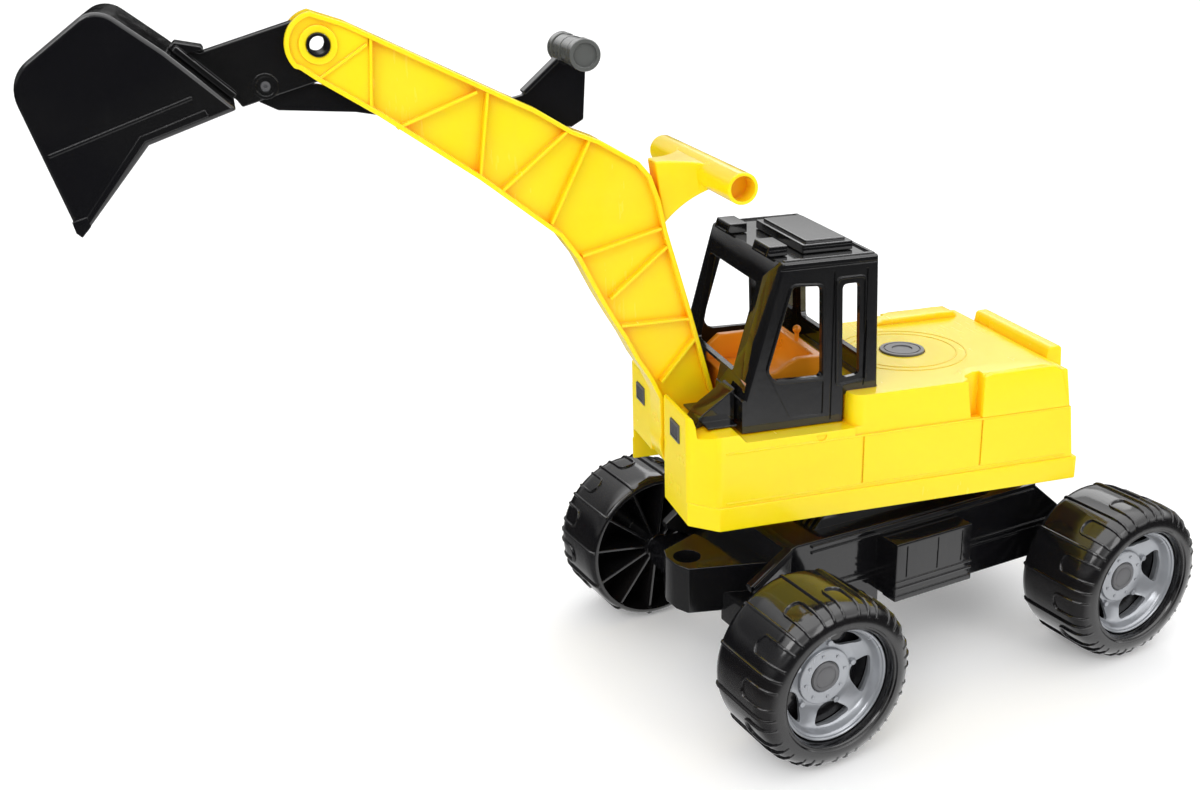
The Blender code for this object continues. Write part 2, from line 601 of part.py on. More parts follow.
def make_stick(lift, skins):
    black = skins["black"]
    place = (0.0, -(STICK_PIVOT[0] - BOOM_PIVOT[0]), STICK_PIVOT[1] - BOOM_PIVOT[1])
    reach = empty("stick_axis", place, lift)
    piece("stick", stick_shape(), black, reach)
    piece("bucket", bucket_shape(), black, reach)
    link = rod(LINK_PIN_RADIUS, "x", -STICK_HALF_WIDTH, STICK_HALF_WIDTH, LEVER_PIVOT, 20, STICK_PIVOT)
    piece("link_pin", link, skins["grey"], reach)
    place = (0.0, -(LEVER_PIVOT[0] - STICK_PIVOT[0]), LEVER_PIVOT[1] - STICK_PIVOT[1])
    piece("lever", lever_shape(), black, empty("lever_axis", place, reach))


def main():
    clear_scene()
    root = empty("toy", (-BOX_MIDDLE[0], -BOX_MIDDLE[1], 0.0))
    skins = {
        "yellow": material("yellow_plastic", (0.95, 0.66, 0.01), 0.35),
        "black": material("black_plastic", (0.012, 0.012, 0.014), 0.3),
        "silver": material("silver_plastic", (0.42, 0.42, 0.43), 0.4, 0.3),
        "grey": material("grey_plastic", (0.09, 0.09, 0.095), 0.4),
        "steel": material("steel", (0.55, 0.55, 0.56), 0.3, 1.0),
    }
    make_chassis(root, skins)
    make_wheels(root, skins)
    slew = empty("slew_axis", (0.0, SWIVEL_Y, 0.0), root, -SLEW_AT_REST)
    make_house(slew, skins)
    lift = make_boom(slew, skins)
    make_stick(lift, skins)


main()
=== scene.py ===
"""Looks of the toy excavator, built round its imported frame.

Lengths are millimetres and angles are degrees; placed() turns them into Blender's metres.
Chassis pieces use (x, y, z). Pieces of the house, boom, stick and bucket use (forward, up) outlines
with X to the left, all in the house's own axes at rest. The floor, lights and camera are placed in metres.
"""

import json
import math

import bmesh
import bpy
from mathutils import Matrix, Vector


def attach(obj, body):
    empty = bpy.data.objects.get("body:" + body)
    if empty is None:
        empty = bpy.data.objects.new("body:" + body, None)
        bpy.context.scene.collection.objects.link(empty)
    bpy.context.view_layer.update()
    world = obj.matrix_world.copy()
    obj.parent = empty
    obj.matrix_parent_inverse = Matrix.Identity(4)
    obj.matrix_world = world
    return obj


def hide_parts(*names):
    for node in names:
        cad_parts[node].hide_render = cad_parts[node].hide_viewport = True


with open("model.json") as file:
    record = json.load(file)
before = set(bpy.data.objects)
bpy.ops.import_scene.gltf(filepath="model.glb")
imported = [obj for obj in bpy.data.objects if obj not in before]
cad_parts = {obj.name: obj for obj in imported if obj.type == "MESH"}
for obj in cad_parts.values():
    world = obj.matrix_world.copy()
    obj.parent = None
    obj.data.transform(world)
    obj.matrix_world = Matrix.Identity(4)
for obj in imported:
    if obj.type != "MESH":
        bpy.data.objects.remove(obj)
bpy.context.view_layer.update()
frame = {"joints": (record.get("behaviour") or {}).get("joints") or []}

MM = 0.001
JOINTS = {joint["name"]: joint for joint in frame["joints"]}
# The swivel stands this far behind the middle between the axles.
SWIVEL_Y = 22.1
SLEW = Vector(JOINTS["house_slew"]["pos_m"])
LEFT = Vector(JOINTS["boom_lift"]["axis"])
CHASSIS = Matrix.Translation((SLEW.x, SLEW.y - SWIVEL_Y * MM, 0.0))
HOUSE = Matrix.Translation((SLEW.x, SLEW.y, 0.0)) @ Matrix.Rotation(math.atan2(LEFT.y, LEFT.x), 4, "Z")

WHEEL_HALF = 26.25
TREAD_RADIUS = 50.6
AXLE_Y = 115.7
AXLE_HEIGHT = 52.0
CHASSIS_HALF = 52.0
TOW_HOLE = (0.0, -138.5)
SWIVEL_RADIUS = 9.0
SWIVEL_BORE = 9.1
PIVOT_BORE = 4.1
LINK_BORE = 2.7
HOUSE_FLOOR = 115.6
HOUSE_FRONT = 164.3
HOUSE_HALF = 69.2
SKIRT_TOP = 130.5
SHOULDER_TOP = 169.4
DECK_TOP = 188.7
SLOT_HALF = 12.8
BOOM_PIVOT = (141.4, 151.3)
STICK_PIVOT = (346.8, 397.2)
LEVER_PIVOT = (375.2, 377.6)
HANDLE_CENTRE = (136.2, 316.2)
GRIP_CENTRE = (209.6, 385.8)
# A cutter this long each way goes through the boom, stick and lever.
THROUGH = 20.0


# ---------------------------------------------------------------- shapes, in millimetres


def outward(bm):
    bmesh.ops.recalc_face_normals(bm, faces=bm.faces)
    return bm


def bevel_edges(bm, edges, width, segments, **options):
    bmesh.ops.bevel(bm, geom=edges, offset=width, segments=segments, profile=0.5, affect="EDGES", **options)


def soften(bm, width, segments=2, limit=35.0):
    """Rounds every edge that turns by more than the limit."""
    sharp = [e for e in bm.edges if len(e.link_faces) == 2 and e.calc_face_angle() > math.radians(limit)]
    bevel_edges(bm, sharp, width, segments, clamp_overlap=True)
    return outward(bm)


def prism(outline, axis, low, high, soft=0.0, segments=2):
    """A closed prism. Axis x takes (forward, up) pairs, y takes (x, z) pairs and z takes (x, y) pairs."""
    bm = bmesh.new()
    rings = []
    for depth in (low, high):
        ring = []
        for a, b in outline:
            places = {"x": (depth, -a, b), "y": (a, depth, b), "z": (a, b, depth)}
            ring.append(bm.verts.new(places[axis]))
        rings.append(ring)
    bm.faces.new(rings[0])
    bm.faces.new(rings[1])
    for i in range(len(outline)):
        j = (i + 1) % len(outline)
        bm.faces.new((rings[0][i], rings[0][j], rings[1][j], rings[1][i]))
    outward(bm)
    return soften(bm, soft, segments) if soft else bm


def slab(points, low, high, soft=0.0):
    """A prism across the house from a (forward, up) outline, with its ends in order."""
    return prism(points, "x", *sorted((low, high)), soft)


def box(x, y, z, soft=0.0):
    outline = [(x[0], y[0]), (x[1], y[0]), (x[1], y[1]), (x[0], y[1])]
    return prism(outline, "z", z[0], z[1], soft)


def arc(radius, steps, centre=(0.0, 0.0), start=0.0, turn=360.0):
    """Points on a circle or, with a shorter turn, on an arc that includes both of its ends."""
    count = steps if turn == 360.0 else steps + 1
    angles = [math.radians(start + turn * i / steps) for i in range(count)]
    return [(centre[0] + radius * math.cos(a), centre[1] + radius * math.sin(a)) for a in angles]


def rod(radius, axis, low, high, centre=(0.0, 0.0), steps=48, soft=0.0):
    return prism(arc(radius, steps, centre), axis, low, high, soft)


def turned(profile, steps=96):
    """A closed (radius, height) profile turned about the X axis."""
    bm = bmesh.new()
    first = [bm.verts.new((height, radius, 0.0)) for radius, height in profile]
    edges = [bm.edges.new((first[i], first[(i + 1) % len(first)])) for i in range(len(first))]
    bmesh.ops.spin(bm, geom=first + edges, axis=(1, 0, 0), steps=steps, angle=math.tau, use_merge=True)
    bmesh.ops.remove_doubles(bm, verts=bm.verts, dist=1e-4)
    bmesh.ops.dissolve_degenerate(bm, edges=bm.edges, dist=1e-5)
    return outward(bm)


def hull(points, soft=0.0, segments=2):
    bm = bmesh.new()
    verts = [bm.verts.new(point) for point in points]
    bmesh.ops.convex_hull(bm, input=verts)
    bmesh.ops.dissolve_limit(bm, angle_limit=0.01, verts=bm.verts, edges=bm.edges)
    outward(bm)
    return soften(bm, soft, segments) if soft else bm


def together(parts):
    """Several shapes in one mesh, not merged."""
    whole = bmesh.new()
    for part in parts:
        held = bpy.data.meshes.new("held")
        part.to_mesh(held)
        part.free()
        whole.from_mesh(held)
        bpy.data.meshes.remove(held)
    return whole


def shifted(bm, offset):
    bmesh.ops.translate(bm, vec=offset, verts=bm.verts)
    return bm


def ball(centre, radius):
    bm = bmesh.new()
    bmesh.ops.create_uvsphere(bm, u_segments=20, v_segments=12, radius=radius)
    return shifted(bm, centre)


def turned_by(bm, angle, axis="X"):
    """The shape turned about an axis through the origin."""
    turn = Matrix.Rotation(math.radians(angle), 3, axis)
    bmesh.ops.rotate(bm, cent=(0, 0, 0), matrix=turn, verts=bm.verts)
    return bm


def inset(outline, distance):
    """The outline moved inwards by a distance, with its corners kept sharp."""
    area = sum(a[0] * b[1] - b[0] * a[1] for a, b in zip(outline, outline[1:] + outline[:1]))
    side = 1.0 if area > 0 else -1.0
    made = []
    for before, here, after in zip(outline[-1:] + outline[:-1], outline, outline[1:] + outline[:1]):
        d1 = (Vector(here) - Vector(before)).normalized()
        d2 = (Vector(after) - Vector(here)).normalized()
        n1, n2 = side * Vector((-d1.y, d1.x)), side * Vector((-d2.y, d2.x))
        made.append(tuple(Vector(here) + distance * (n1 + n2) / (1.0 + n1.dot(n2))))
    return made


def rounded(outline, radius, steps=4):
    """The outline with each corner replaced by an arc-like curve of about that radius."""
    made = []
    for before, here, after in zip(outline[-1:] + outline[:-1], outline, outline[1:] + outline[:1]):
        a, b, c = Vector(before), Vector(here), Vector(after)
        into, out = (a - b), (c - b)
        reach = min(radius, into.length * 0.48, out.length * 0.48)
        start, end = b + into.normalized() * reach, b + out.normalized() * reach
        for i in range(steps + 1):
            t = i / steps
            made.append(tuple((1 - t) ** 2 * start + 2 * t * (1 - t) * b + t**2 * end))
    return made


def strip(start, end, width):
    """The outline of a straight bar between two places."""
    along = (Vector(end) - Vector(start)).normalized()
    side = Vector((-along.y, along.x)) * width / 2.0
    a, b = Vector(start), Vector(end)
    return [tuple(a - side), tuple(b - side), tuple(b + side), tuple(a + side)]


def combined(target, tool, operation):
    """The target cut by, joined to or cropped by the tool with the exact solver, as a new shape."""
    held = []
    for bm in (target, tool):
        mesh = bpy.data.meshes.new("held")
        bm.to_mesh(mesh)
        bm.free()
        thing = bpy.data.objects.new("held", mesh)
        bpy.context.scene.collection.objects.link(thing)
        held.append(thing)
    modifier = held[0].modifiers.new("combine", "BOOLEAN")
    modifier.operation = operation
    modifier.object = held[1]
    modifier.solver = "EXACT"
    made = bmesh.new()
    made.from_object(held[0], bpy.context.evaluated_depsgraph_get())
    for thing in held:
        mesh = thing.data
        bpy.data.objects.remove(thing, do_unlink=True)
        bpy.data.meshes.remove(mesh)
    bmesh.ops.dissolve_limit(made, angle_limit=0.002, verts=made.verts, edges=made.edges)
    return made


def add(target, *tools):
    for tool in tools:
        target = combined(target, tool, "UNION")
    return target


def cut(target, *tools):
    for tool in tools:
        target = combined(target, tool, "DIFFERENCE")
    return target


def crop(target, *tools):
    for tool in tools:
        target = combined(target, tool, "INTERSECT")
    return target


def placed(name, bm, skin, place, body, slot, *nodes):
    """A finished piece: its mesh in metres, its material, its body and the frame nodes that it stands for."""
    bmesh.ops.scale(bm, vec=(MM, MM, MM), verts=bm.verts)
    mesh = bpy.data.meshes.new(name)
    bm.to_mesh(mesh)
    bm.free()
    mesh.shade_smooth()
    mesh.set_sharp_from_angle(angle=math.radians(40.0))
    mesh.materials.append(skin)
    made = bpy.data.objects.new(name, mesh)
    bpy.context.scene.collection.objects.link(made)
    made.matrix_world = place
    weighted = made.modifiers.new("weighted normals", "WEIGHTED_NORMAL")
    weighted.keep_sharp = True
    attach(made, body)
    if nodes:
        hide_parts(*nodes)
    return made


# ---------------------------------------------------------------- materials


def plastic(name, colour, dark, roughness, edge=0.0005, subsurface=0.0, metallic=0.0, coat=0.0, painted_recess_shade=None):
    """Moulded plastic: faint flow marks in its colour, uneven gloss, fine scuffs and softened edges. Given a
    painted recess shade colour, the base colour also turns towards it in recesses and corners found by
    ambient occlusion: painted shade.
    """
    made = bpy.data.materials.new(name)
    made.use_nodes = True
    nodes, links = made.node_tree.nodes, made.node_tree.links
    shader = nodes["Principled BSDF"]
    shader.inputs["Metallic"].default_value = metallic
    shader.inputs["Coat Weight"].default_value = coat
    shader.inputs["Coat Roughness"].default_value = 0.08
    if subsurface:
        shader.inputs["Subsurface Weight"].default_value = subsurface
        shader.inputs["Subsurface Radius"].default_value = (0.009, 0.0042, 0.0004)
        shader.inputs["Subsurface Scale"].default_value = 1.0
    where = nodes.new("ShaderNodeTexCoord")

    def noise(scale, detail, stretch=(1.0, 1.0, 1.0)):
        mapping = nodes.new("ShaderNodeMapping")
        mapping.inputs["Scale"].default_value = stretch
        links.new(where.outputs["Object"], mapping.inputs["Vector"])
        texture = nodes.new("ShaderNodeTexNoise")
        texture.inputs["Scale"].default_value = scale
        texture.inputs["Detail"].default_value = detail
        links.new(mapping.outputs["Vector"], texture.inputs["Vector"])
        return texture.outputs["Fac"]

    def spread(value, low, high, start=0.35, end=0.65):
        ramp = nodes.new("ShaderNodeMapRange")
        ramp.inputs["From Min"].default_value = start
        ramp.inputs["From Max"].default_value = end
        ramp.inputs["To Min"].default_value = low
        ramp.inputs["To Max"].default_value = high
        links.new(value, ramp.inputs["Value"])
        return ramp.outputs["Result"]

    tint = nodes.new("ShaderNodeMix")
    tint.data_type = "RGBA"
    tint.inputs[6].default_value = (*colour, 1.0)
    tint.inputs[7].default_value = (*dark, 1.0)
    links.new(spread(noise(9.0, 3.0, (1.0, 1.0, 2.5)), 0.0, 1.0, 0.42, 0.75), tint.inputs[0])
    links.new(tint.outputs[2], shader.inputs["Base Color"])
    # Painted shade: in recesses and corners, found by ambient occlusion, the base colour is mixed towards a
    # darker orange.
    if painted_recess_shade:
        shade = nodes.new("ShaderNodeAmbientOcclusion")
        shade.samples = 6
        shade.inputs["Distance"].default_value = 0.011
        painted_shade_mix = nodes.new("ShaderNodeMix")
        painted_shade_mix.data_type = "RGBA"
        painted_shade_mix.inputs[6].default_value = (*painted_recess_shade, 1.0)
        links.new(spread(shade.outputs["AO"], 0.0, 1.0, 0.15, 0.75), painted_shade_mix.inputs[0])
        links.new(tint.outputs[2], painted_shade_mix.inputs[7])
        links.new(painted_shade_mix.outputs[2], shader.inputs["Base Color"])
    scuffs = spread(noise(60.0, 6.0, (1.0, 6.0, 1.0)), -0.03, 0.07, 0.5, 0.8)
    cloud = spread(noise(22.0, 4.0), -0.04, 0.06)
    total = nodes.new("ShaderNodeMath")
    total.operation = "ADD"
    links.new(scuffs, total.inputs[0])
    links.new(cloud, total.inputs[1])
    rough = nodes.new("ShaderNodeMath")
    rough.operation = "ADD"
    rough.use_clamp = True
    rough.inputs[1].default_value = roughness
    links.new(total.outputs[0], rough.inputs[0])
    links.new(rough.outputs[0], shader.inputs["Roughness"])
    rim = nodes.new("ShaderNodeBevel")
    rim.samples = 4
    rim.inputs["Radius"].default_value = edge
    skin = nodes.new("ShaderNodeBump")
    skin.inputs["Strength"].default_value = 0.12
    skin.inputs["Distance"].default_value = 0.0002
    links.new(noise(260.0, 2.0), skin.inputs["Height"])
    links.new(rim.outputs["Normal"], skin.inputs["Normal"])
    links.new(skin.outputs["Normal"], shader.inputs["Normal"])
    return made


def steel(name):
    """Drawn bright rod, brushed along its length."""
    return plastic(name, (0.56, 0.56, 0.57), (0.42, 0.42, 0.43), 0.28, metallic=1.0)


YELLOW = plastic(
    "yellow_plastic_gloss",
    (0.97, 0.72, 0.008),
    (0.96, 0.68, 0.006),
    0.22,
    0.0006,
    subsurface=0.3,
    # Painted shade: darker orange in the yellow's recesses and corners.
    painted_recess_shade=(1.0, 0.44, 0.0),
)
# The seat's yellow plastic as a darker, redder copy: painted shade for its place inside the cab, with deeper
# orange painted shade in its recesses too.
SEAT_YELLOW_PAINTED_SHADE = plastic(
    "seat_yellow_painted_shade_gloss", (0.95, 0.34, 0.012), (0.80, 0.24, 0.008), 0.30, 0.0006, painted_recess_shade=(0.7, 0.16, 0.0)
)
GRIP = plastic("grip_plastic_gloss", (0.10, 0.105, 0.10), (0.07, 0.07, 0.07), 0.16, 0.0005, coat=0.8)
BLACK = plastic("black_plastic_gloss", (0.005, 0.005, 0.006), (0.008, 0.008, 0.008), 0.11, 0.0005, coat=0.15)
TYRE = plastic("tyre_plastic_gloss", (0.006, 0.006, 0.007), (0.010, 0.009, 0.009), 0.15, 0.0005, coat=0.2)
SILVER = plastic(
    "silver_plastic_satin", (0.34, 0.355, 0.38), (0.28, 0.29, 0.31), 0.22, 0.0004, metallic=0.35, coat=0.3
)
GREY = plastic("grey_plastic_satin", (0.105, 0.105, 0.11), (0.075, 0.075, 0.08), 0.34, 0.0004)
STEEL = steel("bright_steel")


# ---------------------------------------------------------------- wheels

TREAD_UNITS = 12


def tread_radius(x):
    """Radius of the tyre's surface at a place across it, counted from its middle outwards."""
    corners = [(-WHEEL_HALF, 47.6), (-24.8, 49.4), (-21.5, 50.4), (-14.0, TREAD_RADIUS), (13.0, TREAD_RADIUS)]
    corners += [(18.0, 50.1), (21.8, 48.6), (24.4, 46.0), (25.8, 42.6), (26.15, 40.2)]
    for (x0, r0), (x1, r1) in zip(corners, corners[1:]):
        if x <= x1:
            return r0 + (r1 - r0) * max(0.0, (x - x0) / (x1 - x0))
    return corners[-1][1]


def surface_strip(path, width, height):
    """A raised strip that follows (across, angle) places over the tread."""
    shoulder = height * 0.55
    section = ((-1.0, -2.5), (-1.0, shoulder), (-0.45, height), (0.45, height), (1.0, shoulder), (1.0, -2.5))
    bm = bmesh.new()
    places = [Vector((x, TREAD_RADIUS * math.radians(angle))) for x, angle in path]
    rings = []
    for i, here in enumerate(places):
        along = (places[min(i + 1, len(places) - 1)] - places[max(i - 1, 0)]).normalized()
        side = Vector((-along.y, along.x)) * width / 2.0
        ring = []
        for edge, lift in section:
            at = here + side * edge
            angle = at.y / TREAD_RADIUS
            reach = tread_radius(at.x) + lift
            ring.append(bm.verts.new((at.x, reach * math.cos(angle), reach * math.sin(angle))))
        rings.append(ring)
    for first, second in zip(rings, rings[1:]):
        for i in range(len(first)):
            j = (i + 1) % len(first)
            bm.faces.new((first[i], first[j], second[j], second[i]))
    bm.faces.new(rings[0])
    bm.faces.new(rings[-1])
    return outward(bm)


def tyre_shape():
    """Hollow tyre body, open on its inner side, with blades inside and a lugged tread."""
    tread = (-WHEEL_HALF, -24.8, -21.5, -14.0, 13.0, 18.0, 21.8, 24.4, 25.8)
    profile = [(tread_radius(x), x) for x in tread]
    profile += [(40.2, 26.15), (38.6, 26.1), (37.9, 25.3), (37.0, 25.2), (36.4, 25.6), (35.6, 24.4)]
    profile += [(35.1, 21.6), (35.0, 20.0), (35.0, 5.3), (3.2, 5.3), (3.2, -26.1), (8.6, -26.1)]
    profile += [(9.0, -25.7), (9.0, 1.4), (10.0, 2.2), (45.8, 2.2), (47.0, 1.0), (46.4, -WHEEL_HALF)]
    tyre = turned(profile)
    blades = []
    for i in range(12):
        blades.append(turned_by(box((-23.6, 3.0), (6.0, 47.6), (-0.9, 0.9), 0.3), 30.0 * i))
    tyre = add(tyre, *blades)
    lugs = []
    for i in range(TREAD_UNITS):
        angle = 360.0 * i / TREAD_UNITS
        across = [(x, angle) for x in (-25.6, -24.0, -21.0, -14.0, 0.0, 13.0, 18.0, 21.8, 24.0, 25.6)]
        lugs.append(surface_strip(across, 1.9, 1.35))
        middle, spread = angle + 15.0, 6.6
        bend = []
        for degrees in range(0, 181, 30):
            t = math.radians(degrees)
            bend.append((6.0 - 3.6 * math.sin(t), middle - spread * math.cos(t)))
        leg = (25.4, 23.6, 21.0, 17.0, 12.0)
        loop = [(x, angle + 8.4) for x in leg] + bend + [(x, angle + 21.6) for x in reversed(leg)]
        lugs.append(surface_strip(loop, 1.7, 1.25))
    return add(tyre, together(lugs))


def rim_shape():
    """Dished rim with five windows, eight small bolts round its hub and five larger ones between windows."""
    profile = [(3.4, 6.0), (3.4, 7.6), (9.5, 7.6), (9.5, 10.1), (9.9, 10.5), (16.4, 10.5), (17.0, 10.0)]
    profile += [(17.2, 8.2), (19.0, 8.0), (22.5, 9.0), (27.5, 12.2), (29.4, 13.4), (30.6, 14.8), (31.5, 17.8)]
    profile += [(32.1, 18.9), (32.7, 19.2), (33.0, 20.3), (33.6, 20.7), (34.2, 20.6), (34.6, 20.0)]
    profile += [(34.6, 5.8), (32.8, 5.8), (32.0, 12.5), (30.0, 11.6), (28.2, 10.2), (22.5, 6.9), (19.0, 5.8)]
    rim = turned(profile, 80)
    windows = []
    for i in range(5):
        at = 72.0 * i
        outline = arc(19.6, 1, start=at - 11.0, turn=22.0) + arc(30.0, 2, start=at + 27.0, turn=-54.0)
        windows.append(prism(rounded(outline, 5.0, 6), "z", -4.0, 26.0))
    rim = cut(rim, outward(turned_by(together(windows), 90.0, "Y")))
    bolts = []
    for i in range(8):
        bolt = rod(1.0, "x", 10.0, 11.1, steps=12, soft=0.3)
        bolts.append(turned_by(shifted(bolt, (0.0, 13.4, 0.0)), 45.0 * i))
    for i in range(5):
        bolt = rod(1.9, "x", 7.0, 10.0, steps=16, soft=0.5)
        bolts.append(turned_by(shifted(bolt, (0.0, 20.2, 0.0)), 72.0 * i))
    return add(rim, together(bolts))


def hub_cap_shape():
    profile = [(0.0, 11.1), (5.6, 11.15), (6.0, 10.85), (6.6, 10.85), (7.0, 11.2), (8.5, 11.2), (9.2, 10.6)]
    return turned(profile + [(9.2, 7.8), (0.0, 7.8)], 64)


# How far the wheels have rolled at rest, in degrees.
ROLL_AT_REST = {"front": 8.0, "rear": 22.0}


def make_wheels():
    shapes = (
        ("tyre", tyre_shape(), TYRE, "black_plastic"),
        ("rim", rim_shape(), SILVER, "silver_plastic"),
        ("hub_cap", hub_cap_shape(), GREY, "grey_plastic"),
    )
    for end in ("front", "rear"):
        for side in ("left", "right"):
            joint = JOINTS[f"wheel_spin_{end}_{side}"]
            turn = Matrix.Rotation(0.0 if side == "left" else math.pi, 4, "Z")
            place = Matrix.Translation(joint["pos_m"]) @ turn
            for name, shape, skin, slot in shapes:
                node = f"{name}_{end}_{side}"
                rolled = turned_by(shape.copy(), ROLL_AT_REST[end])
                placed(f"{node}_moulding", rolled, skin, place, f"wheel_{end}_{side}", slot, node)


# ---------------------------------------------------------------- chassis


def chassis_blocks(shrink):
    """The blocks of the chassis; shrunk by the wall, they are the hollow under it."""
    low, top = 45.5 - (10.0 if shrink else 0.0), 102.0
    body = [(100.0, low), (100.0, top - 2.0), (94.0, top), (-93.0, top - 2.5), (-118.0, 78.0)]
    body += [(-128.0, 66.0), (-128.0, low)]
    bridge = [(-70.0, low), (-70.0, 62.0), (-62.0, 66.0), (62.0, 66.0), (70.0, 62.0), (70.0, low)]
    nose = [(32.0, -84.0), (32.0, -100.0), (14.8, -146.6), (6.0, -150.0)]
    nose += [(-x, y) for x, y in reversed(nose)]
    if shrink:
        body, bridge, nose = (inset(outline, shrink) for outline in (body, bridge, nose))
    soft = 0.0 if shrink else 1.4
    width, toolbox = CHASSIS_HALF - shrink, 71.2 - shrink
    toolbox_low = low if shrink else 56.7
    return [
        prism(body, "x", -width, width, soft),
        prism(bridge, "y", -126.0 + shrink, -106.0 - shrink, soft),
        prism(bridge, "y", 100.0 + shrink, 128.0 - shrink, soft),
        prism(nose, "z", 40.0 if shrink else 53.5, 84.0 - shrink, soft / 2.0),
        box((-toolbox, toolbox), (-34.0 + shrink, 25.2 - shrink), (toolbox_low, 95.2 - shrink), soft),
    ]


def chassis_shape():
    """The hollow chassis with its ledges, toolboxes, front wings, finned pedestal, tow tube and bores."""
    frame_shape = add(*chassis_blocks(0.0))
    pedestal = [(76.0, 98.0), (64.0, 111.9), (-62.0, 111.9), (-74.0, 98.0)]
    frame_shape = add(frame_shape, prism(pedestal, "x", -40.0, 40.0, 1.0))
    ledges = []
    for sign in (-1.0, 1.0):
        for z, proud in ((98.6, 1.5), (94.6, 1.1), (70.5, 1.3), (66.8, 1.0)):
            across = sorted((sign * 50.0, sign * (CHASSIS_HALF + proud)))
            along = (-83.5, 94.0 if z > 80.0 else 112.0)
            ledges.append(box(across, along, (z - 0.8, z + 0.8), 0.35))
        side = sorted((sign * 60.0, sign * 71.9))
        ledges.append(box(side, (-34.6, 25.8), (56.7, 60.6), 0.6))
        ledges.append(box(side, (-34.4, 25.6), (64.6, 66.2), 0.5))
        ledges.append(box(side, (-34.4, 25.6), (69.0, 70.2), 0.4))
    for sign in (-1.0, 1.0):
        wing = [(98.0, 101.4), (126.0, 83.4), (126.0, 80.0), (108.0, 71.0), (98.0, 60.0)]
        ledges.append(slab(wing, sign * 46.8, sign * CHASSIS_HALF, 0.5))
        for drop, proud in ((0.9, 1.5), (4.6, 1.1)):
            rail = strip((98.0, 101.4 - drop), (124.5, 83.6 - drop), 1.6)
            ledges.append(slab(rail, sign * 50.0, sign * (CHASSIS_HALF + proud), 0.35))
    frame_shape = add(frame_shape, *ledges)
    grooves = []
    for sign in (-1.0, 1.0):
        for y in (-26.0, -2.0, 17.0):
            grooves.append(box(sorted((sign * 70.4, sign * 75.0)), (y - 0.45, y + 0.45), (71.6, 92.5)))
    between_fins = [(78.0, 96.0), (62.0, 114.0), (52.0, 114.0), (70.0, 96.0)]
    for i in range(15):
        x = -36.4 + 5.2 * i
        grooves.append(prism(between_fins, "x", x - 1.3, x + 1.3))
    frame_shape = cut(frame_shape, together(grooves))
    frame_shape = cut(frame_shape, *chassis_blocks(2.5))
    frame_shape = add(frame_shape, rod(13.0, "z", 60.0, 111.0, (0.0, SWIVEL_Y)))
    frame_shape = cut(frame_shape, rod(SWIVEL_BORE, "z", 50.0, 130.0, (0.0, SWIVEL_Y)))
    for axle in ((AXLE_Y, AXLE_HEIGHT), (-AXLE_Y, AXLE_HEIGHT)):
        frame_shape = add(frame_shape, rod(6.5, "x", -69.0, 69.0, axle, 32))
        frame_shape = cut(frame_shape, rod(3.1, "x", -90.0, 90.0, axle, 32))
    frame_shape = add(frame_shape, rod(10.7, "z", 57.0, 83.0, TOW_HOLE, 48))
    return cut(frame_shape, rod(8.5, "z", 30.0, 95.0, TOW_HOLE))


# ---------------------------------------------------------------- house


def house_block(wall):
    """The house without its slot; shrunk by the wall it is the hollow, open to below."""
    low = HOUSE_FLOOR - (5.0 if wall else 0.0)
    side = [(HOUSE_FRONT, low), (HOUSE_FRONT, 184.0), (161.6, 184.0), (160.0, 178.5), (159.4, 171.5)]
    side += [(149.0, 174.5), (137.3, 174.8), (132.9, SHOULDER_TOP), (66.0, SHOULDER_TOP), (66.0, DECK_TOP)]
    side += [(-76.0, DECK_TOP), (-80.0, 163.9), (-84.0, SKIRT_TOP), (-84.0, low)]
    inner = [(161.3, low), (161.3, 166.4), (63.0, 166.4), (63.0, 185.7), (-73.4, 185.7), (-81.0, 130.0)]
    inner += [(-81.0, low)]
    half = HOUSE_HALF - (wall if wall else 1.2)
    plan = [(half, 100.0), (half, -149.4), (half - 14.0, -HOUSE_FRONT + wall)]
    plan += [(-x, y) for x, y in reversed(plan)]
    block = prism(inner if wall else side, "x", -80.0, 80.0, 0.0 if wall else 1.2)
    walls = prism(plan, "z", 90.0, 230.0)
    if not wall:
        corners = [e for e in walls.edges if abs((e.verts[0].co - e.verts[1].co).z) > 50.0]
        bevel_edges(walls, corners, 2.4, 3)
        outward(walls)
    return crop(block, walls)


def skirt_shape():
    """The lower edge of the house, which stands a little proud of the walls above it."""
    plan = [(HOUSE_HALF, 87.0), (HOUSE_HALF, -149.4), (HOUSE_HALF - 14.0, -HOUSE_FRONT)]
    plan += [(-x, y) for x, y in reversed(plan)]
    return prism(plan, "z", HOUSE_FLOOR, SKIRT_TOP, 0.9)


